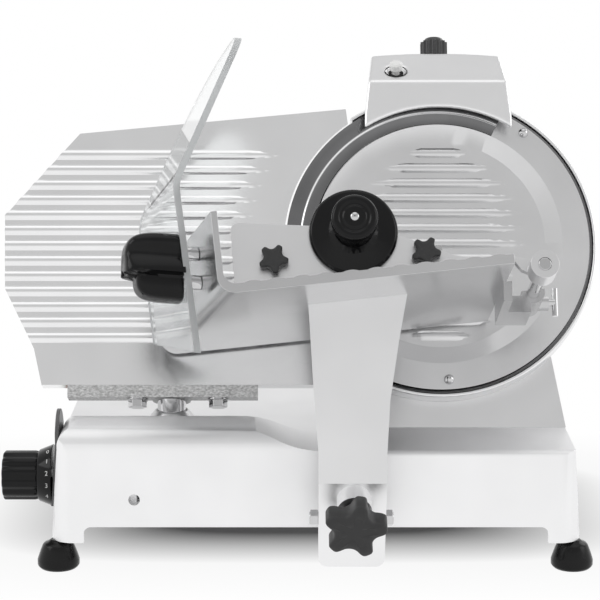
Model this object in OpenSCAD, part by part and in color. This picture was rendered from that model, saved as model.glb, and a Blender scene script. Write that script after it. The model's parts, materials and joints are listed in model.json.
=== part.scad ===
// Electric food slicer with a leaning blade and a gravity-fed sliding carriage.
// X runs along the carriage travel, Y from the carriage side to the slice side, Z up.
// The feet stand on Z = 0, and the middle of the whole machine is over the origin.

/* [Blade] */
// Diameter of the blade
blade_d = 250; // [240:1:256]
// Lean of the blade back from upright, in degrees
blade_tilt = 25; // [23:0.5:27]
// Blade centre in from the right end of the base
blade_in = 106.5; // [102:0.5:110]
// Blade centre behind the origin
blade_y = 55; // [52:0.5:58]
// Height of the blade centre
blade_z = 240; // [237:0.5:246]
// Diameter of the cover that fills the hollow of the blade
cover_d = 204; // [190:1:208]
// Distance between neighbouring ribs on the cover and the gauge plate
rib_pitch = 12.9; // [11:0.1:13]
// Height of the ribs
rib_h = 1.7; // [1:0.1:2]
// Width of a rib
rib_w = 8.6; // [7:0.1:9.5]

/* [Ring guard] */
// Gap between the blade edge and the ring
ring_gap = 1; // [0.8:0.1:1.6]
// Thickness of the ring wall
ring_t = 2.7; // [2:0.1:3.5]
// First end of the ring, degrees from the right-hand side
ring_from = -109; // [-111:1:-104]
// Last end of the ring, degrees from the right-hand side
ring_to = 124; // [118:1:126]

/* [Base] */
// Left end of the base at the legs
base_left = -195; // [-197:0.5:-193]
// Length of the base
base_w = 415; // [410:1:420]
// Front wall of the base, in front of the origin
base_front = -68; // [-70:0.5:-66]
// Depth of the base
base_depth = 248; // [244:1:254]
// Height of the deck
deck_z = 97; // [95:0.5:98]
// Height of the lower edge of the skirt
skirt_z = 36; // [35:0.5:37]
// Height of the feet under the legs
foot_h = 23; // [21:0.5:24]
// Width of a leg
leg_w = 26; // [24:1:30]
// Wall thickness of the base casting
base_wall = 5; // [4:0.5:5.5]
// How far the side walls lean in
side_draft = 6; // [4:0.5:7]
// Radius of the upright corners of the base
corner_r = 18; // [14:1:22]
// Rise of the front left shoulder above the deck
shoulder_rise = 16.5; // [15:0.5:18]
// Right end of the flat part of the shoulder
shoulder_end = -55; // [-60:1:-50]
// Length of the curve from the shoulder down to the deck
shoulder_fall = 75; // [60:1:80]
// Depth of the shoulder
shoulder_depth = 58; // [56:1:60]
// Diameter of a foot
foot_d = 33; // [30:0.5:36]

/* [Gauge plate] */
// Left tip of the gauge plate
gauge_left = -242; // [-246:1:-238]
// Half height of the gauge plate below the blade centre line
gauge_low = 118; // [116:0.5:119]
// Plate thickness
gauge_t = 4; // [3:0.5:5]
// Number of ribs on the gauge plate
gauge_ribs = 13; // [11:1:13]
// Greatest slice thickness
slice_max = 12; // [8:0.5:12]
// Diameter of the chrome post
post_d = 23; // [20:0.5:24]
// Post place along the machine
post_x = -104; // [-108:1:-100]

/* [Dial] */
// Diameter of the fluted barrel
dial_d = 39; // [34:0.5:41]
// Length of the barrel
dial_len = 27; // [22:0.5:30]
// Diameter of the numbered flange
dial_flange_d = 48; // [44:0.5:50]
// Dial axis behind the front wall
dial_back = 40; // [38:0.5:41]
// Height of the dial axis
dial_z = 67; // [66:0.5:68]
// Turn of the dial from closed to the thickest slice, in degrees
dial_turn = 288; // [240:1:300]

/* [Carriage] */
// Middle of the carriage arm along the machine
arm_x = 39; // [37:0.5:41]
// Width of the lower arm
arm_w = 50; // [48:0.5:54]
// Wall thickness of the arm casting
arm_wall = 6; // [5:0.5:7]
// Tilt axle in front of the base wall
axle_fore = 42; // [41:0.5:44]
// Height of the tilt axle
axle_z = 56; // [55:0.5:57]
// Diameter of the tilt axle
axle_d = 10; // [8:0.5:11]
// Diameter of the guide rod under the base
guide_d = 16; // [14:0.5:17]
// Diameter of the big star knob
clamp_d = 47; // [42:0.5:50]

/* [Tray] */
// Roll of the tray floor, right end higher, in degrees
tray_roll = 6.2; // [5.8:0.1:6.6]
// Thickness of the tray floor
tray_t = 7; // [6:0.5:7.5]
// Height of the left wall of the tray
tray_wall_h = 63; // [60:1:66]
// Reach of the tray in front of the blade
tray_reach = 184; // [182:1:187]
// Rib pitch on the tray floor
tray_rib_pitch = 18; // [15:0.5:20]

/* [Hand guard] */
// Thickness of the clear sheet
guard_t = 5; // [4:0.5:6]
// Depth of the sheet along the feed
guard_depth = 120; // [100:1:125]
// Height of the bent top above the bend
guard_top = 128; // [120:1:130]

/* [Press] */
// Diameter of the press rod
rod_d = 10; // [9:0.5:11]
// Outer diameter of the rod sleeve
sleeve_d = 18; // [16:0.5:19]
// Length of the rod sleeve
sleeve_len = 44; // [40:1:48]
// Travel of the press towards the blade
press_travel = 55; // [40:1:56]
// Diameter of the disc behind the press knob
disc_d = 66; // [60:1:68]
// Diameter of the press knob
press_knob_d = 34; // [30:0.5:36]
// Length of the press knob
press_knob_len = 46; // [40:1:50]
// Diameter of the small star knobs
small_star_d = 22; // [19:0.5:24]

/* [Sharpener] */
// Width of the sharpener at its foot
sharp_w = 121; // [114:1:126]
// Wall of the sharpener housing
sharp_wall = 4; // [3:0.5:5]
// Lift of the sharpener off the blade
sharp_lift = 20; // [10:1:24]
// Diameter of the sharpener post
sharp_post_d = 12; // [10:0.5:13]
// Diameter of the lift knob
lift_knob_d = 23; // [20:0.5:26]
// Diameter of the sharpening button
sharp_button_d = 11; // [9:0.5:12]

/* [Drive] */
// Diameter of the motor
motor_d = 90; // [80:1:92]
// Clear air between the motor and the rear wall of its cover
motor_gap = 10; // [6:0.5:14]
// Outer diameter of the blade pulley
big_pulley_d = 96; // [88:1:100]
// Outer diameter of the motor pulley
small_pulley_d = 26; // [22:0.5:30]
// Travel of the switch buttons
button_travel = 3; // [2:0.5:3.5]

/* [Hidden] */
$fn = 64;

// Running clearance of a shaft in its bore, and the clear air between loose neighbours
run_gap = 0.05;
air = 0.5;

// Places of the base
base_right = base_left + base_w;
base_rear = base_front + base_depth;
blade_x = base_right - blade_in;
base_mid_x = (base_left + base_right) / 2;
shoulder_z = deck_z + shoulder_rise;
roof_z = deck_z - base_wall;
foot_reach = 5;
shoulder_r = 18;

// Blade side values; n is the height above the blade plane, u the height along it
blade_r = blade_d / 2;
cover_r = cover_d / 2;
ring_in = blade_r + ring_gap;
ring_out = ring_in + ring_t;
drum_r = blade_r - 27;
drum_wall = 5;
web_n = -14;
drum_front = web_n - 3;
drum_back = drum_front - 44;
lid_t = 3;
lid_back = drum_back - lid_t;
spindle_r = 10;
bearing_r = 22;
bearing_w = 8;
tie_r = 4.5;
pulley_w = 16;
pulley_front = -38;
pedestal_left = blade_x - 59.5;
pedestal_right = base_right - 4.5;
motor_x = blade_x + 22;
motor_u = -(drum_r + 2);
cover_wall = 3;
cover_rear = base_rear - 10;
motor_len = (cover_rear - cover_wall - motor_gap - blade_y - (motor_u + motor_d / 2) * sin(blade_tilt))
    / cos(blade_tilt) + lid_back;

// Gauge plate values
gauge_cut_r = blade_r + 4.5;
gauge_face = -rib_h;
gauge_back = gauge_face - gauge_t;
rim_back = -15;
bar_h = 10;
bar_back = -16;
pad_back = -34;
bar_left = -187;
bar_len = 153;
bolt_x = [-131, -66];
bolt_n = -9;
bolt_r = 4;
gauge_travel = slice_max / cos(blade_tilt);
post_r = post_d / 2;
post_y = 18;
collar_r = 23;
collar_h = 12;
slider_low = 58;
slider_top = 84;
slider_d = 32;
slider_left = post_x - 20;
gauge_rod_x = post_x + 28;
gauge_rod_r = 6;
gauge_rod_z = 71;

// Dial drive values
dial_y = base_front + dial_back;
cam_r = 27.2;
cam_t = 8;
cam_x = -150;
groove_d = 5;
pin_r = 3;
pin_gap = 0.4;
pin_first = 8.5;
pin_y = dial_y + pin_first;
dial_shaft_r = 5;
bezel_t = 3;
bezel_r = 54;
bezel_half = 38;

// Carriage values
axle_y = base_front - axle_fore;
axle_r = axle_d / 2;
block_half = arm_w / 2 - arm_wall - 0.7;
guide_y = base_front + 35;
guide_z = 48;
guide_r = guide_d / 2;
steady_y = base_front + 62;
steady_z = 44;
steady_r = 5;
rod_left = -138;
rail_len = base_right - base_wall - 2 - rod_left;
clamp_tilt = 22;
clamp_root = [arm_x + 1.4, -137.5, 78.3];
clamp_boss_r = 13;
clamp_boss_len = 14;
clamp_screw_r = 5;
leg_front = base_front - 28;

// Tray values
tray_x = 30;
tray_u = -80;
tray_near = 5;
tray_flare = 16.3;
tray_front_left = -89.3;
tray_front_right = 127.5;
tray_rear_right = 122;
tray_wall_t = 4.5;
tray_out_r = 13;
tray_in_r = 9;
tray_rib_h = 1.2;
tray_rib_w = 12;

// Hand guard values
guard_front = 160;
guard_pivot = -88;
guard_bend_r = 30;
guard_bend = [-92.1 + guard_bend_r, -1.3];
guard_low_lean = 8.1;
guard_top_lean = 22.2;
guard_low = 136;
handle_n = 143;
handle_u = [-47.3, -69.2];
spacer_r = 5.5;
stud_r = 4;
handle_out = 40;
handle_top = -29.5;
handle_h = 49;
handle_deep = 36;
slot_low = -56.5;
slot_h = 3;

// Press values
press_n = 150;
press_t = 8;
rod_x = 179;
rod_u = -65.6;
rod_r = rod_d / 2;
sleeve_r = sleeve_d / 2;
sleeve_front = 96;
web_x = 153;
web_t = 6.4;
web_low = -81.5;
web_front = 131;
lock_n = 62;
disc_x = 39.6;
disc_u = -36.5;
star_x = [-19.5, 93];
star_u = [-58.3, -52.5];
boss_front = press_n + 30;

// Sharpener values
sharp_front = 18;
sharp_top = blade_r + 8.4;
sharp_peak_n = -11.8;
sharp_peak = blade_r + 43.8;
sharp_back = -46;
sharp_clear = ring_out + 2.3;
sharp_lip = blade_r - 14;
sharp_post_n = -29;
sharp_sleeve_r = sharp_post_d / 2 + 4;
sharp_face_turn = 40.1;
sharp_button_x = blade_x - 33.9;
sharp_button_run = 0.36;
stone_x = [blade_x - 21.5, blade_x + 21.5];
stone_u = blade_r + 18;

// Switch values
switch_y = base_front + base_depth * 0.645;
switch_z = deck_z - 31;
switch_w = 64;
switch_h = 36;
switch_t = 4;
button_r = 9;
gland_r = 7;
gland_y = base_rear - 36;
gland_z = deck_z - 41;
button_y = [switch_y - 15, switch_y + 15];

// Frame with X along the machine, Y up along the blade and Z out of the blade plane
module blade_frame() {
    translate([0, blade_y, blade_z]) rotate([90 - blade_tilt, 0, 0]) children();
}

module on_spindle() {
    blade_frame() translate([blade_x, 0, 0]) children();
}

// Frame of the tray: X along its floor, Y up from its underside, Z along the feed
module tray_frame() {
    blade_frame() translate([tray_x, tray_u, 0]) rotate([0, 0, tray_roll]) children();
}

// Frame of the clamp screw, Z pointing out towards the knob
module clamp_frame() {
    translate(clamp_root) rotate([90 + clamp_tilt, 0, 0]) children();
}

// A flat outline in X and Z, drawn out along Y
module along_y(from, length) {
    translate([0, from + length, 0]) rotate([90, 0, 0]) linear_extrude(length) children();
}

// A flat outline in Y and Z, drawn out along X
module along_x(from, length) {
    translate([from, 0, 0]) rotate([90, 0, 90]) linear_extrude(length) children();
}

// A round bar along X
module bar_x(from, length, y, z, r) {
    translate([from, y, z]) rotate([0, 90, 0]) cylinder(r = r, h = length);
}

module round_rect(x, y, w, h, r) {
    translate([x + r, y]) square([w - 2 * r, h]);
    translate([x, y + r]) square([w, h - 2 * r]);
    for (i = [r, w - r], j = [r, h - r]) translate([x + i, y + j]) circle(r);
}

// The waste outside a rounded corner; the corner points along +X and +Y
module corner_waste(x, y, r, turn) {
    translate([x, y]) rotate(turn) translate([-r, -r]) difference() {
        square([r + 1, r + 1]);
        circle(r);
    }
}

// A star outline with round lobes
module star_2d(d, lobes) {
    lobe_r = d * 0.19;
    circle(d * 0.36);
    for (i = [0 : lobes - 1]) rotate(i * 360 / lobes - 90) {
        translate([d / 2 - lobe_r, 0]) circle(lobe_r);
        translate([0, -lobe_r]) square([d / 2 - lobe_r, 2 * lobe_r]);
    }
}

// A barrel with flutes along its side
module fluted(d, h, flutes, depth) {
    difference() {
        cylinder(d = d, h = h);
        for (i = [0 : flutes - 1]) rotate(i * 360 / flutes)
            translate([d / 2 + depth * 0.6, 0, -1]) cylinder(r = depth * 1.6, h = h + 2);
    }
}

// A rib with a rounded top: a round bar sunk in the plate, faded out to a point at one end
module rib(from, to, u, fade) {
    r = (rib_w * rib_w / 4 + rib_h * rib_h) / (2 * rib_h);
    translate([from, u, -r]) rotate([0, 90, 0]) {
        cylinder(r = r, h = to - from - fade);
        translate([0, 0, to - from - fade]) cylinder(r1 = r, r2 = r - rib_h - 0.3, h = fade);
    }
}

module base_front_2d() {
    difference() {
        polygon([
            [base_left, foot_h], [base_right, foot_h],
            [base_right - side_draft, deck_z], [base_left + side_draft, deck_z]
        ]);
        round_rect(base_left + leg_w, 0, base_w - 2 * leg_w, skirt_z, 6);
    }
}

module base_side_2d() {
    difference() {
        translate([base_front, foot_h]) square([base_depth, deck_z - foot_h]);
        round_rect(base_front + leg_w, 0, base_depth - 2 * leg_w, skirt_z, 6);
        corner_waste(base_front, deck_z, 5, 90);
        corner_waste(base_rear, deck_z, 8, 0);
    }
}

// Shoulder outline: flat top, round left corner and an S curve down to the deck
module shoulder_front_2d() {
    left = base_left + side_draft;
    low = deck_z - 20;
    curve_r = (pow(shoulder_fall / 2, 2) + pow(shoulder_rise / 2, 2)) / shoulder_rise;
    middle = shoulder_end + shoulder_fall / 2;
    difference() {
        translate([left, low]) square([shoulder_end - left, shoulder_z - low]);
        corner_waste(left, shoulder_z, 14, 90);
    }
    intersection() {
        translate([shoulder_end, shoulder_z - curve_r]) circle(curve_r, $fn = 128);
        translate([shoulder_end, low]) square([shoulder_fall / 2, shoulder_z - low]);
    }
    difference() {
        translate([middle, low]) square([shoulder_fall / 2, deck_z + shoulder_rise / 2 - low]);
        translate([shoulder_end + shoulder_fall, deck_z + curve_r]) circle(curve_r, $fn = 128);
    }
}

module shoulder_side_2d() {
    difference() {
        translate([base_front, deck_z - 20]) square([shoulder_depth, shoulder_rise + 20]);
        corner_waste(base_front, shoulder_z, shoulder_r, 90);
        corner_waste(base_front + shoulder_depth, shoulder_z, 12, 0);
    }
}

module base_shell() {
    reach = base_w + 2;
    intersection() {
        along_y(base_front - 1, base_depth + 2) base_front_2d();
        along_x(base_left - 1, reach) base_side_2d();
        linear_extrude(deck_z) round_rect(base_left, base_front, base_w, base_depth, corner_r);
    }
    intersection() {
        along_y(base_front, shoulder_depth) shoulder_front_2d();
        along_x(base_left - 1, reach) shoulder_side_2d();
        linear_extrude(shoulder_z) round_rect(base_left, base_front, base_w, base_depth, corner_r);
    }
}

module base_hollow() {
    in_left = base_left + side_draft + base_wall;
    in_w = base_w - 2 * side_draft - 2 * base_wall;
    translate([0, 0, -1]) linear_extrude(roof_z + 1)
        round_rect(in_left, base_front + base_wall, in_w, base_depth - 2 * base_wall, corner_r - base_wall);
    translate([in_left + 4, base_front + 12, roof_z - 1])
        cube([shoulder_end - in_left - 4, shoulder_depth - 18, shoulder_rise - 3]);
}

// The inner walls and bosses that carry the rods and the bottom plate
module base_inside() {
    web_y = [post_y - slider_d / 2 - 14, post_y + slider_d / 2 + gauge_travel + 4];
    translate([rod_left, base_front + 2, skirt_z + 2])
        cube([10, guide_y + guide_r + 5 - base_front - 6, shoulder_z - base_wall - skirt_z - 2]);
    translate([rod_left, guide_y, skirt_z + 2]) cube([10, steady_y + 9 - guide_y, dial_z - 11 - skirt_z - 2]);
    bar_x(base_right - side_draft - base_wall - 9, 10, guide_y, guide_z, guide_r + 5);
    bar_x(base_right - side_draft - base_wall - 9, 10, steady_y, steady_z, steady_r + 5);
    for (y = web_y) translate([gauge_rod_x - 11, y, gauge_rod_z - 10])
        cube([22, 8, roof_z + 1 - gauge_rod_z + 10]);
    for (p = plate_bosses()) translate([p[0], p[1], skirt_z + 2]) cylinder(r = 6, h = roof_z - skirt_z);
}

function plate_bosses() = [for (x = [base_left + 34, base_right - 34], y = [24, base_rear - 26]) [x, y]];

module leg_pads() {
    for (p = foot_places()) translate([p[0], p[1], foot_h]) cylinder(d = foot_d - 12, h = 11);
}

function foot_places() = [for (
    x = [base_left + foot_reach, base_right - foot_reach - 1],
    y = [base_front + 12, base_rear - 24]
) [x, y]];

module base_casting() {
    color("silver") difference() {
        union() {
            difference() {
                base_shell();
                base_hollow();
            }
            intersection() {
                base_shell();
                union() {
                    base_inside();
                    leg_pads();
                }
            }
        }
        // slot for the gauge post
        for (y = [post_y, post_y + gauge_travel]) translate([post_x, y, roof_z - 2])
            cylinder(r = post_r + air, h = base_wall + 4);
        translate([post_x - post_r - air, post_y, roof_z - 2])
            cube([post_d + 2 * air, gauge_travel, base_wall + 4]);
        // rods
        bar_x(rod_left - 1, rail_len + 1, guide_y, guide_z, guide_r);
        bar_x(rod_left - 1, rail_len + 1, steady_y, steady_z, steady_r);
        translate([gauge_rod_x, post_y - 60, gauge_rod_z]) rotate([-90, 0, 0]) cylinder(r = gauge_rod_r, h = 150);
        // dial shaft, switch body and the hole in the front wall
        bar_x(base_left - 2, 30, dial_y, dial_z, dial_shaft_r + run_gap);
        translate([base_left - 2, switch_y - switch_w / 2 + 8, switch_z - switch_h / 2 + 6])
            cube([30, switch_w - 16, switch_h - 12]);
        translate([-129, base_front - 1, 58]) rotate([-90, 0, 0]) cylinder(d = 9, h = base_wall + 8);
        // opening in the deck under the motor
        translate([motor_x - motor_d / 2 - 4, blade_y + 0.5, roof_z - 2])
            cube([motor_d + 8, cover_rear - cover_wall - 1.5 - blade_y, base_wall + 4]);
        // cord gland
        bar_x(base_left - 2, 30, gland_y, gland_z, gland_r);
    }
}

module bottom_plate() {
    gap = side_draft + base_wall + 1;
    low = steady_y + 16;
    color("gray") difference() {
        translate([base_left + gap, low, skirt_z])
            cube([base_w - 2 * gap, base_rear - base_wall - 20 - low, 2]);
        for (i = [0 : 11], j = [0, 1])
            translate([motor_x - 55 + i * 10, base_rear - 100 + j * 34, skirt_z - 1]) cube([4, 26, 4]);
    }
}

module feet() {
    color("black") for (p = foot_places()) translate([p[0], p[1], 0]) rotate_extrude() polygon([
        [0, 0], [foot_d / 2 - 2.5, 0], [foot_d / 2, 3], [foot_d / 2, 6.5],
        [foot_d / 2 - 4.5, foot_h - 7], [foot_d / 2 - 6.5, foot_h - 5], [foot_d / 2 - 8, foot_h], [0, foot_h]
    ]);
}

// Line of the left side wall, as an outline that starts at the wall and stands out by t
module left_wall_2d(t, low, high) {
    lean = side_draft / (deck_z - foot_h);
    polygon([
        [base_left + (low - foot_h) * lean, low], [base_left + (high - foot_h) * lean, high],
        [base_left + (high - foot_h) * lean - t, high], [base_left + (low - foot_h) * lean - t, low]
    ]);
}

module dial_bezel() {
    low = skirt_z + 6;
    color("dimgray") difference() {
        intersection() {
            along_y(dial_y - bezel_half, 2 * bezel_half) {
                left_wall_2d(bezel_t, low, deck_z);
                translate([base_left + side_draft - bezel_t, deck_z]) square([bezel_t, dial_z + bezel_r - deck_z]);
            }
            along_x(base_left - 20, 40) translate([dial_y, dial_z]) {
                circle(bezel_r);
                translate([-bezel_half, low - dial_z]) square([2 * bezel_half, dial_z - low]);
            }
        }
        bar_x(base_left - 20, 40, dial_y, dial_z, dial_shaft_r + air);
    }
}

module switch_plate() {
    color("black") difference() {
        union() {
            intersection() {
                along_y(switch_y - switch_w / 2, switch_w)
                    left_wall_2d(switch_t, switch_z - switch_h / 2, switch_z + switch_h / 2);
                along_x(base_left - 20, 40)
                    round_rect(switch_y - switch_w / 2, switch_z - switch_h / 2, switch_w, switch_h, 6);
            }
            translate([base_left, switch_y - switch_w / 2 + 8.3, switch_z - switch_h / 2 + 6.3])
                cube([24, switch_w - 16.6, switch_h - 12.6]);
        }
        for (y = button_y) bar_x(base_left - 20, 34, y, switch_z, button_r + run_gap);
    }
}

module push_button(y) {
    bar_x(base_left - switch_t - 2, 11, y, switch_z, button_r);
}

module on_button() {
    color("seagreen") push_button(button_y[0]);
}

module off_button() {
    color("firebrick") push_button(button_y[1]);
}

module cord_gland() {
    color("black") difference() {
        union() {
            intersection() {
                bar_x(base_left - 6, 20, gland_y, gland_z, gland_r + 3);
                along_y(gland_y - 20, 40) left_wall_2d(20, gland_z - 16, gland_z + 16);
            }
            bar_x(base_left, 14, gland_y, gland_z, gland_r);
        }
        bar_x(base_left - 10, 40, gland_y, gland_z, gland_r - 3);
    }
}

// Blade housing outline in the blade plane: round drum above a foot that widens to the deck
module housing_2d(inset) {
    foot_u = -165;
    translate([blade_x, 0]) circle(drum_r - inset, $fn = 128);
    polygon([
        [pedestal_left + inset, foot_u], [pedestal_right + 2 - inset, foot_u],
        [pedestal_right - 12 - inset, -86], [blade_x + drum_r * 0.8 - inset, -drum_r * 0.6 + 4],
        [blade_x - drum_r * 0.5 + inset, -drum_r * 0.7], [pedestal_left + inset, -98]
    ]);
}

// Everything of the blade side that stands above the deck
module above_deck() {
    translate([-300, -300, deck_z]) cube([700, 700, 400]);
}

module blade_housing() {
    color("silver") difference() {
        intersection() {
            blade_frame() difference() {
                union() {
                    difference() {
                        translate([0, 0, drum_back]) linear_extrude(drum_front - drum_back) housing_2d(0);
                        translate([0, 0, drum_back - 1])
                            linear_extrude(drum_front - drum_back - drum_wall + 1) housing_2d(drum_wall);
                    }
                    translate([blade_x, 0, drum_front - 2 * bearing_w])
                        cylinder(r = bearing_r + 6, h = 2 * bearing_w);
                    translate([blade_x, drum_r - 14, sharp_post_n]) rotate([-90, 0, 0])
                        cylinder(r = sharp_post_d / 2 + 5, h = 24);
                }
                translate([blade_x, 0, drum_front - 2 * bearing_w - 1])
                    cylinder(r = bearing_r, h = 2 * bearing_w + 2);
                translate([blade_x, drum_r - 6, sharp_post_n]) rotate([-90, 0, 0])
                    cylinder(d = sharp_post_d, h = 40);
            }
            above_deck();
        }
    }
}

module belt_cover() {
    color("gainsboro") intersection() {
        blade_frame() difference() {
            translate([0, 0, lid_back]) linear_extrude(lid_t) housing_2d(0);
            translate([blade_x, 0, lid_back - 1]) cylinder(r = tie_r + air, h = lid_t + 2);
            translate([motor_x, motor_u, lid_back - 1]) cylinder(r = 8, h = lid_t + 2);
        }
        above_deck();
    }
}

module on_motor() {
    blade_frame() translate([motor_x, motor_u, 0]) children();
}

module motor_body() {
    color("dimgray") on_motor() difference() {
        union() {
            translate([0, 0, lid_back - motor_len]) cylinder(d = motor_d - 8, h = motor_len - 8);
            translate([0, 0, lid_back - motor_len + 18]) fluted(motor_d, motor_len - 34, 24, 2);
            translate([0, 0, lid_back - 8]) cylinder(d = motor_d - 14, h = 8);
        }
        translate([0, 0, lid_back - 24]) cylinder(r = 6 + run_gap, h = 30);
    }
}

module motor_shaft() {
    color("lightgray") on_motor() translate([0, 0, lid_back - 23]) cylinder(r = 6, h = 23 + lid_t + 23);
}

// A grooved pulley for a ribbed belt
module pulley(r, width, bore) {
    grooves = 5;
    step = width / (grooves + 1);
    difference() {
        cylinder(r = r, h = width);
        translate([0, 0, -1]) cylinder(r = bore, h = width + 2);
        for (i = [1 : grooves]) translate([0, 0, i * step]) rotate_extrude()
            polygon([[r - 1.6, 0], [r + 1, -step * 0.5], [r + 1, step * 0.5]]);
    }
}

module small_pulley() {
    color("gray") on_motor() translate([0, 0, pulley_front - pulley_w])
        pulley(small_pulley_d / 2, pulley_w, 6);
}

module big_pulley() {
    color("gray") on_spindle() translate([0, 0, pulley_front - pulley_w]) difference() {
        pulley(big_pulley_d / 2, pulley_w, spindle_r);
        for (i = [0 : 4]) rotate(i * 72) translate([27, 0, -1]) cylinder(r = 9, h = pulley_w + 2);
    }
}

// A belt around two pulleys, the second at distance reach along X
module belt(r1, r2, reach, t, width) {
    a = acos((r1 - r2) / reach);
    run = reach * sin(a);
    rotate(a) rotate_extrude(angle = 360 - 2 * a, $fn = 128) translate([r1, 0]) square([t, width]);
    translate([reach, 0, 0]) rotate(-a) rotate_extrude(angle = 2 * a, $fn = 128)
        translate([r2, 0]) square([t, width]);
    rotate(a) translate([r1, -run, 0]) cube([t, run, width]);
    rotate(-a) translate([r1, 0, 0]) cube([t, run, width]);
}

module drive_belt() {
    reach = norm([motor_x - blade_x, motor_u]);
    turn = atan2(motor_u, motor_x - blade_x);
    color("black") on_spindle() rotate(turn) translate([0, 0, pulley_front - pulley_w + 2])
        belt(big_pulley_d / 2 + 0.4, small_pulley_d / 2 + 0.4, reach, 2.2, pulley_w - 4);
}

// The motor stands partly in the base; this cover closes it in above the deck
module motor_cover_2d(inset) {
    n = lid_back;
    low_u = (deck_z - blade_z - n * sin(blade_tilt)) / cos(blade_tilt);
    top_u = motor_u + motor_d / 2 + 9;
    rear = cover_rear;
    at = function(u) [
        blade_y + u * sin(blade_tilt) - n * cos(blade_tilt),
        blade_z + u * cos(blade_tilt) + n * sin(blade_tilt)
    ];
    lap = inset > 0 ? 6 : 0;
    polygon([
        at(low_u) - [lap, lap], at(top_u - inset) + [-lap, lap * 6 / 26], at(top_u) + [26, -6 - inset],
        [rear - inset, deck_z + 34 - inset], [rear - inset, deck_z - lap]
    ]);
}

module motor_cover() {
    half = motor_d / 2 + 9;
    wall = cover_wall;
    color("silver") difference() {
        along_x(motor_x - half, 2 * half) motor_cover_2d(0);
        difference() {
            along_x(motor_x - half + wall, 2 * (half - wall)) motor_cover_2d(wall);
            translate([-300, cover_rear - wall, 0]) cube([700, 60, 300]);
        }
        for (i = [-4 : 4]) translate([motor_x + i * 10 - 2.5, cover_rear - 6, deck_z + 7])
            cube([5, 20, 20]);
    }
}

module spindle_bearings() {
    color("lightsteelblue") on_spindle() for (i = [0, 1])
        translate([0, 0, drum_front - (i + 1) * bearing_w]) difference() {
            cylinder(r = bearing_r, h = bearing_w - 0.2);
            translate([0, 0, -1]) cylinder(r = spindle_r + run_gap, h = bearing_w + 2);
        }
}

module ring_guard() {
    inner = drum_r - 18;
    color("silver") on_spindle() rotate(ring_from) rotate_extrude(angle = ring_to - ring_from, $fn = 128)
        polygon([
            [inner, drum_front], [ring_out, drum_front], [ring_out, 1], [ring_out - 0.8, 1.8],
            [ring_in, 1.8], [ring_in, web_n], [inner, web_n]
        ]);
}

module slicer_blade() {
    color("gray") on_spindle() rotate_extrude($fn = 128) polygon([
        [spindle_r + run_gap, -9], [cover_r - 5, -9], [cover_r + 1.2, -4], [blade_r - 4, -1.2],
        [blade_r, -0.2], [blade_r - 4, -2.6], [cover_r + 2, -7], [cover_r - 3, -12],
        [spindle_r + run_gap, -12]
    ]);
}

module blade_spindle() {
    color("lightgray") on_spindle() difference() {
        union() {
            translate([0, 0, pulley_front - pulley_w]) cylinder(r = spindle_r, h = -pulley_front + pulley_w - 9);
            translate([0, 0, drum_front + 0.3]) cylinder(r = 32, h = -12 - drum_front - 0.3);
        }
        translate([0, 0, -200]) cylinder(r = tie_r + 0.6, h = 300);
    }
}

// Ribbed disc in the hollow of the blade, with a rim that covers the edge on the far side
module blade_cover() {
    floor_n = -rib_h;
    ribs = floor((cover_r - 24) / rib_pitch);
    color("silver") on_spindle() difference() {
        union() {
            rotate_extrude($fn = 128) polygon([
                [0, -6.5], [cover_r - 8, -6.5], [cover_r, -2.6], [cover_r, 1.2], [cover_r - 1, 2.2],
                [cover_r - 15, floor_n], [0, floor_n]
            ]);
            intersection() {
                translate([0, 0, floor_n - 1]) cylinder(r = cover_r - 10, h = rib_h + 2);
                for (i = [-ribs : ribs]) {
                    half = sqrt(pow(cover_r - 20, 2) - pow(i * rib_pitch, 2));
                    rib(0, half, i * rib_pitch, half * 0.5);
                    mirror([1, 0, 0]) rib(0, half, i * rib_pitch, half * 0.5);
                }
            }
            rotate(-118) rotate_extrude(angle = 182, $fn = 128) polygon([
                [cover_r - 1, 0.9], [blade_r - 3, 0.9], [blade_r - 2.4, 2.2], [cover_r - 1, 2.2]
            ]);
        }
        translate([0, 0, -20]) cylinder(r = tie_r, h = 16.5);
        for (p = stud_places()) translate([p[0], p[1], 0]) cylinder(r = 2, h = 9);
    }
}

function stud_places() = [[6.3, -(blade_r - 10.5)], [71, blade_r - 31.5]];

module cover_studs() {
    color("lightgray") on_spindle() for (p = stud_places()) translate([p[0], p[1], 0.9]) {
        cylinder(r = 2, h = 1.3);
        translate([0, 0, 1.3]) rotate_extrude() intersection() {
            translate([0, 0.5]) circle(4.2);
            square([6, 6]);
        }
    }
}

module cover_tie_rod() {
    color("lightgray") on_spindle() translate([0, 0, lid_back - 12])
        cylinder(r = tie_r - run_gap, h = -3.6 - lid_back + 12);
}

module cover_knob() {
    color("black") on_spindle() translate([0, 0, lid_back - 0.3 - 22]) difference() {
        union() {
            fluted(36, 16, 12, 2.2);
            cylinder(r = 11, h = 22);
        }
        translate([0, 0, 10]) cylinder(r = tie_r - run_gap, h = 20);
    }
}

module guide_rod() {
    color("lightgray") bar_x(rod_left, rail_len - 2, guide_y, guide_z, guide_r);
}

module steady_rod() {
    color("lightgray") bar_x(rod_left, rail_len - 2, steady_y, steady_z, steady_r);
}

module gauge_rod() {
    first = post_y - slider_d / 2 - 14;
    last = post_y + slider_d / 2 + gauge_travel + 12;
    color("lightgray") translate([gauge_rod_x, first, gauge_rod_z]) rotate([-90, 0, 0])
        cylinder(r = gauge_rod_r, h = last - first);
}

module sharpener_post() {
    color("lightgray") blade_frame() translate([blade_x, drum_r - 6, sharp_post_n]) rotate([-90, 0, 0])
        cylinder(d = sharp_post_d, h = sharp_peak - sharp_wall - 4 - drum_r + 6);
}

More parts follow.
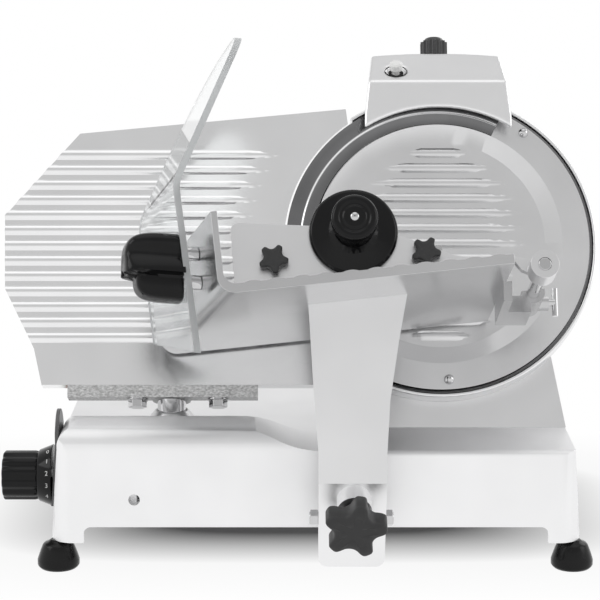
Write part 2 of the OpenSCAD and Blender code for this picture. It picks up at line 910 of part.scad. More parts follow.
// Gauge plate outline, with the round cut for the blade
module gauge_2d() {
    difference() {
        polygon([
            [gauge_left, 23.7], [gauge_left + 60, 94.4], [40, 116], [blade_x, 122], [blade_x, -90],
            [46, -gauge_low], [gauge_left + 34, -gauge_low], [gauge_left + 27, -88], [gauge_left + 2, -38]
        ]);
        translate([blade_x, 0]) circle(gauge_cut_r, $fn = 128);
        translate([38, 60]) square([100, 100]);
    }
}

module gauge_plate() {
    middle = (gauge_ribs - 1) / 2;
    color("silver") blade_frame() difference() {
        union() {
            translate([0, 0, gauge_back]) linear_extrude(gauge_t) gauge_2d();
            intersection() {
                translate([0, 0, gauge_back]) linear_extrude(gauge_t + rib_h + 1) gauge_2d();
                for (i = [0 : gauge_ribs - 1]) {
                    u = (i - middle) * rib_pitch - 1.5;
                    reach = sqrt(pow(gauge_cut_r + 12, 2) - u * u);
                    rib(gauge_left, blade_x - reach, u, 40);
                }
            }
            intersection() {
                translate([0, 0, rim_back]) linear_extrude(gauge_back - rim_back) gauge_2d();
                union() {
                    translate([-300, -gauge_low, rim_back]) cube([600, 5, 20]);
                    translate([gauge_left + 60, 94.4, rim_back]) rotate([0, 0, 5.6])
                        translate([0, -5, 0]) cube([240, 5, 20]);
                    for (x = bolt_x) translate([x, -gauge_low, bolt_n]) rotate([-90, 0, 0])
                        cylinder(r = 5.5, h = 22);
                }
            }
        }
        for (x = bolt_x) translate([x, -gauge_low - 1, bolt_n]) rotate([-90, 0, 0])
            cylinder(r = bolt_r, h = 17);
    }
}

module gauge_bracket() {
    color("darkgray") {
        blade_frame() difference() {
            translate([bar_left, -gauge_low - bar_h, bar_back]) cube([bar_len, bar_h, gauge_face - bar_back]);
            for (x = bolt_x) translate([x, -gauge_low - bar_h - 1, bolt_n]) rotate([-90, 0, 0])
                cylinder(r = bolt_r + 0.2, h = bar_h + 2);
        }
        intersection() {
            translate([post_x, post_y, deck_z]) cylinder(r = post_r + 4, h = 100);
            blade_frame() translate([bar_left, -gauge_low - bar_h, pad_back])
                cube([bar_len, bar_h, bar_back - pad_back + 2]);
        }
    }
}

module gauge_bolts() {
    color("lightgray") blade_frame() for (x = bolt_x)
        translate([x, -gauge_low - bar_h, bolt_n]) rotate([90, 0, 0]) {
            cylinder(r = 8.5, h = 1.6);
            translate([0, 0, 1.6]) cylinder(r = 7.5, h = 5.5, $fn = 6);
            translate([0, 0, -bar_h - 15]) cylinder(r = bolt_r, h = bar_h + 15.2);
        }
}

// Everything under the lower face of the gauge bracket
module under_bracket() {
    blade_frame() translate([-400, -gauge_low - bar_h - 400, -300]) cube([800, 400, 600]);
}

module gauge_post() {
    color("lightgray") intersection() {
        translate([post_x, post_y, slider_low + 2]) cylinder(r = post_r, h = 100);
        under_bracket();
    }
}

module post_collar() {
    color("silver") translate([post_x, post_y, deck_z + 0.3]) difference() {
        cylinder(r1 = collar_r, r2 = post_r + 2, h = collar_h);
        translate([0, 0, -1]) cylinder(r = post_r, h = collar_h + 2);
    }
}

module gauge_slider() {
    block_w = gauge_rod_x + 13 - slider_left;
    color("darkgray") difference() {
        union() {
            translate([slider_left, post_y - slider_d / 2, slider_low])
                cube([block_w, slider_d, slider_top - slider_low]);
            translate([cam_x + cam_t + pin_gap, pin_y - 4, dial_z - 7])
                cube([slider_left + 1 - cam_x - cam_t - pin_gap, post_y - pin_y + 13, 14]);
            bar_x(cam_x + cam_t - groove_d + pin_gap, groove_d, pin_y, dial_z, pin_r);
        }
        translate([post_x, post_y, slider_low + 2]) cylinder(r = post_r, h = 100);
        translate([gauge_rod_x, post_y - 60, gauge_rod_z]) rotate([-90, 0, 0])
            cylinder(r = gauge_rod_r + run_gap, h = 150);
    }
}

module on_dial() {
    translate([0, dial_y, dial_z]) rotate([0, 90, 0]) children();
}

// Numbered cone flange and fluted barrel, with its axis along X
module dial_knob() {
    flange_x = base_left - bezel_t + 0.8;
    cone = 10;
    color("black") on_dial() difference() {
        union() {
            translate([0, 0, flange_x - cone]) cylinder(d1 = dial_d, d2 = dial_flange_d, h = cone);
            translate([0, 0, flange_x - cone - dial_len]) fluted(dial_d, dial_len, 12, 2.4);
            translate([0, 0, flange_x - cone - dial_len - 1]) cylinder(d = dial_d - 7, h = 2);
        }
        translate([0, 0, flange_x - 22]) cylinder(r = dial_shaft_r, h = 40);
    }
}

module dial_shaft() {
    first = base_left - bezel_t + 0.8 - 22;
    color("lightgray") on_dial() translate([0, 0, first]) cylinder(r = dial_shaft_r, h = cam_x + 2 - first);
}

// Spiral groove: the pin radius grows evenly with the turn of the dial
function groove_r(a) = pin_first + gauge_travel * a / dial_turn;
function groove_point(a, side) = (groove_r(a) + side * (pin_r + pin_gap)) * [cos(a), sin(a)];

module groove_2d() {
    lead = 26;
    step = (dial_turn + 2 * lead) / 42;
    polygon(concat(
        [for (i = [0 : 42]) groove_point(i * step - lead, 1)],
        [for (i = [42 : -1 : 0]) groove_point(i * step - lead, -1)]
    ));
}

module dial_cam() {
    color("gray") translate([cam_x, dial_y, dial_z]) rotate([90, 0, 90]) difference() {
        cylinder(r = cam_r, h = cam_t);
        translate([0, 0, -1]) cylinder(r = dial_shaft_r, h = 3);
        translate([0, 0, cam_t - groove_d]) linear_extrude(groove_d + 1) mirror([0, 1, 0]) groove_2d();
    }
}

// Carriage block: holds the tilt axle in front of the base and rides on the rods under it
module block_2d() {
    tongue_low = foot_h - 1;
    tongue_t = 10;
    translate([axle_y, axle_z]) circle(axle_r + 6);
    translate([axle_y, axle_z - axle_r - 5]) square([leg_front + 5 - axle_y, 2 * axle_r + 10]);
    translate([leg_front, tongue_low]) square([22, 82]);
    translate([leg_front, tongue_low]) square([steady_y + 9 - leg_front, tongue_t]);
    translate([guide_y, guide_z]) circle(guide_r + 5);
    translate([guide_y - guide_r - 5, tongue_low]) square([2 * guide_r + 10, guide_z - tongue_low]);
    translate([steady_y - 9, tongue_low]) square([18, steady_z + 8 - tongue_low]);
}

module carriage_block() {
    color("darkgray") difference() {
        along_x(arm_x - block_half, 2 * block_half) block_2d();
        bar_x(arm_x - 40, 80, axle_y, axle_z, axle_r);
        bar_x(arm_x - 40, 80, guide_y, guide_z, guide_r + run_gap);
        bar_x(arm_x - 40, 80, steady_y, steady_z, steady_r + run_gap);
    }
}

module tilt_axle() {
    color("lightgray") bar_x(arm_x - arm_w / 2 - 7, arm_w + 14, axle_y, axle_z, axle_r);
}

module axle_nuts() {
    color("lightgray") for (x = [arm_x - arm_w / 2 - 6.2, arm_x + arm_w / 2 + 0.4])
        difference() {
            translate([x, axle_y, axle_z]) rotate([0, 90, 0]) cylinder(r = axle_r + 4.5, h = 5.8, $fn = 6);
            bar_x(x - 1, 8, axle_y, axle_z, axle_r);
        }
}

// Front view of the arm: it widens towards the tray
module arm_front_2d() {
    low = 21;
    half = arm_w / 2;
    difference() {
        polygon([
            [arm_x - half, low], [arm_x + half, low], [arm_x + half + 0.8, 110], [arm_x + half + 3.5, 150],
            [arm_x + half + 10, 190], [arm_x + half + 24, 262], [arm_x - half - 10, 262],
            [arm_x - half - 8.5, 230], [arm_x - half - 4, 160], [arm_x - half, 110]
        ]);
        corner_waste(arm_x - half, low, 7, 180);
        corner_waste(arm_x + half, low, 7, 270);
    }
}

// Side view of the arm: its lower end leans back under the clamp knob
module arm_side_2d(inset) {
    polygon([
        [-72 + inset, 270], [-142 + inset, 92], [-121 + inset * 0.9, 21 - inset], [-98 + inset, 21 - inset],
        [-98 + inset, 92], [-34 + inset, 270]
    ]);
}

module carriage_arm() {
    color("silver") difference() {
        union() {
            difference() {
                intersection() {
                    along_y(-180, 120) arm_front_2d();
                    along_x(arm_x - 60, 120) arm_side_2d(0);
                }
                difference() {
                    intersection() {
                        along_x(arm_x - arm_w / 2 + arm_wall, arm_w - 2 * arm_wall) arm_side_2d(arm_wall + 1);
                        along_y(-180, 120) translate([-200, 0]) square([500, 218]);
                    }
                }
            }
            clamp_frame() translate([0, 0, -6]) cylinder(r = clamp_boss_r, h = clamp_boss_len + 6);
        }
        clamp_frame() translate([0, 0, -80]) cylinder(r = clamp_screw_r + run_gap, h = 160);
        clamp_frame() translate([0, 0, -40]) cylinder(r = clamp_boss_r + 1, h = 34 - 1);
        bar_x(arm_x - 60, 120, axle_y, axle_z, axle_r + run_gap);
        tray_frame() translate([-300, 0, -50]) cube([600, 200, 400]);
    }
}

// Tray floor in plan, X along the tray and Y along the feed
module tray_plan_2d() {
    deep = tray_reach - tray_near;
    left = tray_front_left + (tray_wall_t + tray_in_r - 0.3) / cos(tray_flare);
    polygon([
        [left - deep * tan(tray_flare), tray_near], [left, tray_reach],
        [tray_front_right, tray_reach], [tray_rear_right, tray_near]
    ]);
}

module tray_slab(low, t) {
    translate([0, low + t, 0]) rotate([90, 0, 0]) linear_extrude(t) tray_plan_2d();
}

module product_tray() {
    r = (pow(tray_rib_w / 2, 2) + pow(tray_rib_h, 2)) / (2 * tray_rib_h);
    color("silver") tray_frame() {
        tray_slab(0, tray_t);
        intersection() {
            tray_slab(tray_t - 1, 4);
            for (i = [-6 : 6]) translate([i * tray_rib_pitch + 8, tray_t + tray_rib_h - r, 0]) cylinder(r = r, h = 300);
        }
        intersection() {
            translate([tray_front_left, 0, tray_reach]) rotate([0, tray_flare, 0]) translate([0, 0, -260])
                linear_extrude(320) difference() {
                    square([tray_wall_t + tray_in_r, tray_wall_h]);
                    round_rect(tray_wall_t, tray_t, 60, 120, tray_in_r);
                    corner_waste(0, 0, tray_out_r, 180);
                }
            translate([-300, -1, tray_near]) cube([600, 200, tray_reach - tray_near]);
        }
    }
}

// Bracket under the right end of the tray, with the sleeve for the press rod
module rod_guide() {
    length = sleeve_len;
    first = sleeve_front - length;
    color("silver") blade_frame() difference() {
        union() {
            translate([rod_x, rod_u, first]) cylinder(r = sleeve_r, h = length);
            translate([web_x, web_low, first]) cube([rod_x - web_x - 2, rod_u - 3 - web_low, length]);
            translate([web_x, web_low, first]) cube([web_t, 40, web_front - first]);
            translate([rod_x + 6, rod_u, lock_n]) rotate([0, 90, 0]) cylinder(r = 6.5, h = 9);
        }
        translate([rod_x, rod_u, 0]) cylinder(r = rod_r + run_gap, h = 300);
        translate([rod_x, rod_u, lock_n]) rotate([0, 90, 0]) cylinder(r = 3 + run_gap, h = 30);
        translate([tray_x, tray_u, 0]) rotate([0, 0, tray_roll]) translate([-300, 0, -50]) cube([600, 60, 400]);
    }
}

module rod_lock() {
    color("lightgray") blade_frame() translate([rod_x + rod_r + 0.4, rod_u, lock_n]) rotate([0, 90, 0]) {
        cylinder(r = 3, h = 15);
        translate([0, 11, 15]) rotate([90, 0, 0]) cylinder(r = 2.5, h = 22);
    }
}

// Frame of the clear sheet, which flares out towards the blade
module guard_frame() {
    blade_frame() translate([guard_pivot, 0, guard_front]) rotate([0, tray_flare, 0])
        translate([-guard_pivot, 0, 0]) children();
}

// An outline in the plane of the sheet, X along the feed and Y up, cut right through
module through_sheet() {
    translate([-300, 0, 0]) rotate([0, 90, 0]) linear_extrude(600) mirror([1, 0, 0]) children();
}

// One side of the bent sheet from its foot to its top, or back down: straight, bend, straight
bend_steps = 14;
function guard_turn(i) = 180 + guard_low_lean - i * (guard_low_lean + guard_top_lean) / bend_steps;
function guard_foot(r) = r * [cos(guard_turn(0)), sin(guard_turn(0))]
    - guard_low * [-sin(guard_low_lean), cos(guard_low_lean)];
function guard_peak(r) = r * [cos(guard_turn(bend_steps)), sin(guard_turn(bend_steps))]
    + guard_top * [sin(guard_top_lean), cos(guard_top_lean)];
function guard_bow(r, way) = [for (i = [0 : bend_steps])
    let (k = way > 0 ? i : bend_steps - i) r * [cos(guard_turn(k)), sin(guard_turn(k))]];
function guard_line(r, way) = way > 0
    ? concat([guard_foot(r)], guard_bow(r, way), [guard_peak(r)])
    : concat([guard_peak(r)], guard_bow(r, way), [guard_foot(r)]);

// Sheet with a straight foot, a bend and a straight top
module hand_guard() {
    peak = guard_bend[1] + guard_bend_r * sin(guard_top_lean) + guard_top * cos(guard_top_lean);
    color("whitesmoke") guard_frame() difference() {
        translate([guard_bend[0], guard_bend[1], -guard_depth]) linear_extrude(guard_depth)
            polygon(concat(guard_line(guard_bend_r + guard_t / 2, 1), guard_line(guard_bend_r - guard_t / 2, -1)));
        translate([-300, -127, 0]) rotate([15, 0, 0]) translate([0, -200, -300]) cube([600, 200, 400]);
        through_sheet() corner_waste(-guard_depth, peak, 80, 90);
        through_sheet() corner_waste(0, peak, 22, 0);
        for (u = handle_u) translate([-140, u, handle_n - guard_front]) rotate([0, 90, 0])
            cylinder(r = stud_r, h = 100);
    }
}

// Grip with two bars, joined at the outer end and bolted flat on the sheet
module carriage_handle() {
    low = handle_top - handle_h;
    out = -guard_bend_r - guard_t / 2 - handle_out;
    color("black") guard_frame() difference() {
        translate([0, 0, handle_n - guard_front - handle_deep / 2]) translate(guard_bend)
            rotate([0, 0, guard_low_lean]) difference() {
                intersection() {
                    linear_extrude(handle_deep) round_rect(out, low, handle_out + 40, handle_h, 11);
                    translate([out - 10, 0, 0]) rotate([0, 90, 0]) linear_extrude(handle_out + 60)
                        mirror([1, 0, 0]) round_rect(0, low, handle_deep, handle_h, 9);
                }
                translate([out + 9, slot_low, -10]) cube([handle_out + 60, slot_h, handle_deep + 20]);
            }
        right_of_sheet(-1);
        handle_studs(34);
    }
}

// Everything on the right of the left (-1) or the right (1) face of the sheet foot
module right_of_sheet(side) {
    translate([0, 0, -250]) linear_extrude(400) translate(guard_bend) rotate(guard_low_lean)
        translate([-guard_bend_r + side * guard_t / 2, -300]) square([300, 600]);
}

module handle_studs(length) {
    for (u = handle_u) translate([-140 + length, u, handle_n - guard_front]) rotate([0, 90, 0])
        cylinder(r = stud_r, h = 100);
}

// Chrome spacers between the sheet and the tray wall, each on a stud that ends in the handle
module handle_spacers() {
    color("lightgray") difference() {
        guard_frame() union() {
            difference() {
                handle_studs(34);
                right_of_sheet(1);
            }
            intersection() {
                for (u = handle_u) translate([-140, u, handle_n - guard_front]) rotate([0, 90, 0])
                    cylinder(r = spacer_r, h = 100);
                right_of_sheet(1);
            }
        }
        blade_frame() tray_wall_keepout();
    }
}

module tray_wall_keepout() {
    translate([tray_x, tray_u, 0]) rotate([0, 0, tray_roll]) translate([tray_front_left, 0, tray_reach])
        rotate([0, tray_flare, 0]) translate([0, 0, -260]) linear_extrude(320)
            translate([0, -20]) square([100, tray_wall_h + 20]);
}

module clamp_knob() {
    hub = clamp_boss_len + 4;
    color("black") clamp_frame() difference() {
        union() {
            translate([0, 0, hub - 3]) cylinder(r1 = 9, r2 = 12, h = 9);
            translate([0, 0, hub + 6]) linear_extrude(15) star_2d(clamp_d, 5);
            translate([0, 0, hub + 21]) cylinder(r1 = 12, r2 = 9, h = 2);
        }
        translate([0, 0, hub - 4]) cylinder(r = clamp_screw_r, h = 15);
    }
}

module clamp_screw() {
    reach = (leg_front - 0.4 - clamp_root[1]) / cos(clamp_tilt) - 3;
    color("lightgray") clamp_frame() {
        translate([0, 0, -reach + 3]) cylinder(r = clamp_screw_r, h = reach - 3 + clamp_boss_len + 14);
        translate([0, 0, -reach]) cylinder(r1 = 2, r2 = clamp_screw_r, h = 3);
    }
}

module press_rod() {
    first = sleeve_front - 34;
    color("lightgray") blade_frame() translate([rod_x, rod_u, first]) cylinder(r = rod_r, h = boss_front - first);
}

// Press plate outline: it follows the tray floor and runs out into the arm to the rod
module press_2d() {
    floor_u = tray_u + tray_t + tray_rib_h + 0.8;
    slope = tan(tray_roll);
    at = function(x) floor_u + (x - tray_x) * slope;
    difference() {
        polygon([
            [-48, at(-48)], [158.5, at(158.5)], [164, rod_u + 1.5], [rod_x, rod_u - 5], [rod_x, rod_u + 8],
            [150, rod_u + 12.5], [126, rod_u + 10.5], [113, rod_u + 13], [77, -39], [20, -31], [-52, -28]
        ]);
        corner_waste(-52, -28, 7, 90);
    }
}

module press_plate() {
    color("silver") blade_frame() difference() {
        union() {
            translate([0, 0, press_n]) linear_extrude(press_t) press_2d();
            translate([rod_x, rod_u, press_n + 5]) cylinder(r = rod_r + 5.5, h = boss_front - press_n - 5);
        }
        translate([rod_x, rod_u, press_n - 1]) cylinder(r = rod_r + run_gap, h = boss_front);
        translate([disc_x, disc_u, press_n - 1]) cylinder(r = 4, h = press_t + 2);
        for (i = [0, 1]) translate([star_x[i], star_u[i], press_n - 1]) cylinder(r = 3 + run_gap, h = press_t + 2);
    }
}

// Black disc and ringed knob that the hand pushes
module press_disc() {
    top = press_n + press_t;
    color("black") blade_frame() translate([disc_x, disc_u, 0]) {
        translate([0, 0, press_n]) cylinder(r = 4, h = press_t);
        translate([0, 0, top]) rotate_extrude() polygon([
            [0, 0], [disc_d / 2, 0], [disc_d / 2, 4], [disc_d / 2 - 2, 6], [press_knob_d / 2 + 2, 8],
            [press_knob_d / 2 - 3, 12], [press_knob_d / 2 - 3, press_knob_len - 18],
            [press_knob_d / 2, press_knob_len - 13], [press_knob_d / 2, press_knob_len - 2],
            [press_knob_d / 2 - 2, press_knob_len], [press_knob_d / 2 - 5, press_knob_len],
            [press_knob_d / 2 - 6, press_knob_len - 1.2], [press_knob_d / 2 - 8, press_knob_len - 1.2],
            [press_knob_d / 2 - 9, press_knob_len], [0, press_knob_len]
        ]);
    }
}

// Plate of spikes that grips the end of the food
module press_spikes() {
    plate_t = 4;
    color("gray") blade_frame() difference() {
        union() {
            translate([-34, -68, press_n - plate_t]) cube([140, 24, plate_t]);
            for (i = [0 : 10], j = [0, 1]) translate([-26 + i * 12, -62 + j * 12, press_n - plate_t - 9])
                cylinder(r1 = 0.4, r2 = 3, h = 9.5);
        }
        translate([tray_x, tray_u, 0]) rotate([0, 0, tray_roll])
            translate([-200, -20, 0]) cube([400, 20 + tray_t + tray_rib_h + 1.2, 300]);
        for (i = [0, 1]) translate([star_x[i], star_u[i], press_n - 20]) cylinder(r = 3 + run_gap, h = 40);
    }
}

module small_star(i) {
    top = press_n + press_t;
    translate([star_x[i], star_u[i], 0]) {
        translate([0, 0, press_n - 3]) cylinder(r = 3, h = press_t + 8);
        translate([0, 0, top + 0.3]) cylinder(r1 = 5, r2 = 6.5, h = 3);
        translate([0, 0, top + 3.2]) linear_extrude(7.5) star_2d(small_star_d, 5);
    }
}

module left_star_knob() {
    color("black") blade_frame() small_star(0);
}

module right_star_knob() {
    color("black") blade_frame() small_star(1);
}

// Sharpener side view, X along the blade normal and Y up along the blade
module sharp_side_2d(inset) {
    polygon([
        [sharp_front - inset, 60], [sharp_front - inset, sharp_top - inset * 0.4],
        [sharp_peak_n - inset * 0.4, sharp_peak - inset], [-40 + inset, sharp_peak - inset],
        [sharp_back + inset, sharp_peak - 8 - inset], [sharp_back + inset, 60]
    ]);
}

// Sharpener front view: it narrows upwards, and its top edge bows a little
module sharp_front_2d(inset) {
    half = sharp_w / 2 - inset;
    intersection() {
        polygon([
            [-half, 60], [half, 60], [half, sharp_lip - 8], [half - 8, sharp_peak + 9], [-half + 8, sharp_peak + 9],
            [-half, sharp_lip - 8]
        ]);
        translate([0, sharp_peak - 420]) circle(420 - inset, $fn = 128);
    }
}

module sharp_block(inset) {
    intersection() {
        translate([-200, 0, 0]) rotate([0, 90, 0]) linear_extrude(400) mirror([1, 0, 0]) sharp_side_2d(inset);
        translate([0, 0, -100]) linear_extrude(200) sharp_front_2d(inset);
    }
}

// Frame on the sloping top of the sharpener, Z out of the face
module sharp_face() {
    n = sharp_front + sharp_button_run * (sharp_peak_n - sharp_front);
    u = sharp_top + sharp_button_run * (sharp_peak - sharp_top);
    blade_frame() translate([sharp_button_x, u, n]) rotate([-sharp_face_turn, 0, 0]) children();
}

module sharpener_housing() {
    color("silver") difference() {
        on_spindle() difference() {
            union() {
                difference() {
                    sharp_block(0);
                    sharp_block(sharp_wall);
                }
                intersection() {
                    sharp_block(0);
                    union() {
                        translate([0, 60, sharp_post_n]) rotate([-90, 0, 0]) cylinder(r = sharp_sleeve_r, h = 200);
                        for (x = stone_x) translate([x - blade_x, stone_u, sharp_back]) cylinder(r = 6, h = 14);
                        translate([sharp_button_x - blade_x - 8, 60, -10]) cube([16, 200, 30]);
                    }
                }
            }
            translate([0, 0, -100]) cylinder(r = sharp_clear, h = 100 + sharp_front - sharp_wall, $fn = 128);
            translate([0, 0, 0]) cylinder(r = sharp_lip, h = 100, $fn = 128);
            translate([0, 0, sharp_post_n]) rotate([-90, 0, 0])
                cylinder(r = sharp_post_d / 2 + run_gap, h = sharp_peak - sharp_wall);
            translate([0, sharp_peak - sharp_wall - 1, sharp_post_n]) rotate([-90, 0, 0]) cylinder(r = 3 + run_gap, h = 20);
            for (x = stone_x) translate([x - blade_x, stone_u, sharp_back + 3.6]) cylinder(r = 3 + run_gap, h = 40);
        }
        sharp_face() translate([0, 0, -2.5]) cylinder(r = 9, h = 20);
        sharp_face() translate([0, 0, -12]) cylinder(r = 3 + run_gap, h = 20);
    }
}

module stone(i) {
    blade_frame() translate([stone_x[i], stone_u, sharp_back + 4]) {
        cylinder(r = 3, h = 22);
        translate([0, 0, 10.4]) cylinder(r = 9.5, h = 8);
    }
}

module grinding_stone() {
    color("tan") stone(0);
}

module honing_stone() {
    color("wheat") stone(1);
}

module lift_knob() {
    color("black") blade_frame() translate([blade_x, sharp_peak + 0.4, sharp_post_n]) rotate([-90, 0, 0]) {
        fluted(lift_knob_d, 15, 14, 1.6);
        translate([0, 0, 15]) cylinder(d1 = lift_knob_d - 4, d2 = lift_knob_d - 8, h = 3);
        translate([0, 0, -sharp_wall]) cylinder(r = 3, h = sharp_wall + 1);
    }
}

module sharpening_button() {
    color("whitesmoke") sharp_face() {
        translate([0, 0, -8]) cylinder(r = 3, h = 10);
        translate([0, 0, 1.5]) cylinder(d = sharp_button_d, h = 5);
        translate([0, 0, 6.5]) cylinder(d1 = sharp_button_d, d2 = sharp_button_d - 4, h = 1.5);
    }
}

base_casting();
bottom_plate();
feet();
dial_bezel();
switch_plate();
cord_gland();
blade_housing();
belt_cover();
motor_body();
motor_cover();
spindle_bearings();
ring_guard();
blade_cover();
cover_studs();
drive_belt();
guide_rod();
steady_rod();
gauge_rod();
sharpener_post();
slicer_blade();
blade_spindle();
big_pulley();
motor_shaft();
small_pulley();
cover_tie_rod();
cover_knob();
dial_knob();
dial_shaft();
dial_cam();
gauge_plate();
gauge_bracket();
gauge_bolts();
gauge_post();
post_collar();
gauge_slider();
carriage_block();
tilt_axle();
axle_nuts();
carriage_arm();
product_tray();
rod_guide();
hand_guard();
carriage_handle();
handle_spacers();
clamp_knob();
clamp_screw();
press_rod();
press_plate();
press_disc();
press_spikes();
left_star_knob();
right_star_knob();
rod_lock();
sharpener_housing();
grinding_stone();
honing_stone();
lift_knob();
sharpening_button();
on_button();
off_button();
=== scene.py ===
"""Looks of the food slicer: finishes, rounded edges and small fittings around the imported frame."""
import json
import math

import bmesh
import bpy
from mathutils import Matrix, Vector

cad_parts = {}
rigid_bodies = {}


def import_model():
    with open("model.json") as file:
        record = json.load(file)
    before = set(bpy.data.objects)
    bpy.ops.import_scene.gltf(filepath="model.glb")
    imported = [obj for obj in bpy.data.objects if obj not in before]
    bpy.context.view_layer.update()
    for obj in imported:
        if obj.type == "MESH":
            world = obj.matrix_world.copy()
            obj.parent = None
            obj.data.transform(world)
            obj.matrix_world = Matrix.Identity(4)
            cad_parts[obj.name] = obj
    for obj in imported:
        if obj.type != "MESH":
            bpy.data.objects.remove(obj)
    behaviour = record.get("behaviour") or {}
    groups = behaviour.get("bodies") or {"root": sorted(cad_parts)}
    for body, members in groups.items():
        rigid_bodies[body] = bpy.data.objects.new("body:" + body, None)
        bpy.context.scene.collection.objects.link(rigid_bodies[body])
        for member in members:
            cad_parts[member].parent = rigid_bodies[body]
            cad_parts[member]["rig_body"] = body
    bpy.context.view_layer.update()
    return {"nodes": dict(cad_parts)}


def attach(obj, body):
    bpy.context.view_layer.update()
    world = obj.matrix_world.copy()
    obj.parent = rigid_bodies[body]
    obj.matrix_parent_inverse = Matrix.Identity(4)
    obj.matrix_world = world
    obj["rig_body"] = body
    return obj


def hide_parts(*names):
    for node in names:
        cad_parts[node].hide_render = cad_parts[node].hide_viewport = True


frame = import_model()
scene = bpy.context.scene
FULL_TURN = 2 * math.pi


def shift(x, y, z):
    return Matrix.Translation((x, y, z))


def rotate(degrees, axis):
    return Matrix.Rotation(math.radians(degrees), 4, axis)


# Camera at the photograph's viewing angle
CAMERA_PLACE = (0.0, -1.710, 0.5356)
CAMERA_DOWN = 11  # degrees below level
camera_data = bpy.data.cameras.new("camera")
camera_data.lens = 131.4
camera_data.sensor_width = 36
camera = bpy.data.objects.new("camera", camera_data)
camera.location = CAMERA_PLACE
camera.rotation_euler = (math.radians(90 - CAMERA_DOWN), 0, 0)
scene.collection.objects.link(camera)
scene.camera = camera
scene.view_settings.view_transform = "Standard"

# Frames of the machine. BLADE: X along the machine, Y up along the blade, Z out of the blade plane
BLADE_TILT = 25
SPINDLE_X = 0.1135
GUARD_LEAN = 16.3
DIAL_Y, DIAL_Z = -0.028, 0.067
WORLD = Matrix.Identity(4)
BLADE = shift(0, 0.055, 0.240) @ rotate(90 - BLADE_TILT, "X")
SPINDLE = BLADE @ shift(SPINDLE_X, 0, 0)
TRAY = BLADE @ shift(0.030, -0.080, 0) @ rotate(6.2, "Z")
GRIP = BLADE @ rotate(GUARD_LEAN, "Y")
BUTTON = BLADE @ shift(0.0796, 0.146144, 0.007272) @ rotate(-40.1, "X")
KNOB = BLADE @ shift(0.0396, -0.0365, 0.204)
DIAL = shift(0, DIAL_Y, DIAL_Z) @ rotate(90, "Y")
CLAMP = shift(0.0404, -0.1375, 0.0783) @ rotate(112, "X")

# Finishes
NOISE_LOW, NOISE_HIGH = 0.25, 0.75  # the part of a noise's range that carries its pattern
EVEN = (1, 1, 1)


def grey(level, blue=0.0):
    """A grey with a little more or less blue."""
    return (level, level, level + blue)


def new_material(name):
    mat = bpy.data.materials.new(name)
    mat.use_nodes = True
    nodes = mat.node_tree.nodes
    return mat, nodes, mat.node_tree.links, nodes["Principled BSDF"]


def mapped(nodes, links, scale=EVEN):
    coords = nodes.new("ShaderNodeTexCoord")
    mapping = nodes.new("ShaderNodeMapping")
    mapping.inputs["Scale"].default_value = scale
    links.new(coords.outputs["Object"], mapping.inputs["Vector"])
    return mapping.outputs["Vector"]


def noise(nodes, links, vector, scale, detail=3.0, rough=0.55):
    tex = nodes.new("ShaderNodeTexNoise")
    tex.inputs["Scale"].default_value = scale
    tex.inputs["Detail"].default_value = detail
    tex.inputs["Roughness"].default_value = rough
    links.new(vector, tex.inputs["Vector"])
    return tex.outputs["Fac"]


def spread(nodes, links, value, low, high):
    """A noise stretched to run from low to high."""
    ramp = nodes.new("ShaderNodeMapRange")
    ramp.inputs["From Min"].default_value = NOISE_LOW
    ramp.inputs["From Max"].default_value = NOISE_HIGH
    ramp.inputs["To Min"].default_value = low
    ramp.inputs["To Max"].default_value = high
    links.new(value, ramp.inputs["Value"])
    return ramp.outputs["Result"]


def tint(nodes, links, value, dark, light):
    """A noise turned into a colour between two."""
    ramp = nodes.new("ShaderNodeValToRGB")
    first, last = ramp.color_ramp.elements
    first.position, last.position = NOISE_LOW, NOISE_HIGH
    first.color, last.color = (*dark, 1), (*light, 1)
    links.new(value, ramp.inputs["Fac"])
    return ramp.outputs["Color"]


def bump(nodes, links, bsdf, height, strength, distance):
    node = nodes.new("ShaderNodeBump")
    node.inputs["Strength"].default_value = strength
    node.inputs["Distance"].default_value = distance
    links.new(height, node.inputs["Height"])
    links.new(node.outputs["Normal"], bsdf.inputs["Normal"])


def grain_metal(name, dark, light, rough, strength, grain=700, stretch=EVEN, distance=0.0002, flecks=False):
    """Metal with fine grain: cloudy or flecked colour, uneven gloss and a small bump."""
    mat, nodes, links, bsdf = new_material(name)
    bsdf.inputs["Metallic"].default_value = 1.0
    clouds = noise(nodes, links, mapped(nodes, links), 14, 2)
    fine = noise(nodes, links, mapped(nodes, links, stretch), grain, 4, 0.6)
    links.new(tint(nodes, links, fine if flecks else clouds, dark, light), bsdf.inputs["Base Color"])
    links.new(spread(nodes, links, fine, *rough), bsdf.inputs["Roughness"])
    bump(nodes, links, bsdf, fine, strength, distance)
    return mat


def aluminium(name, dark, light, rough, strength, **more):
    return grain_metal(name, grey(dark, 0.005), grey(light, 0.005), rough, strength, **more)


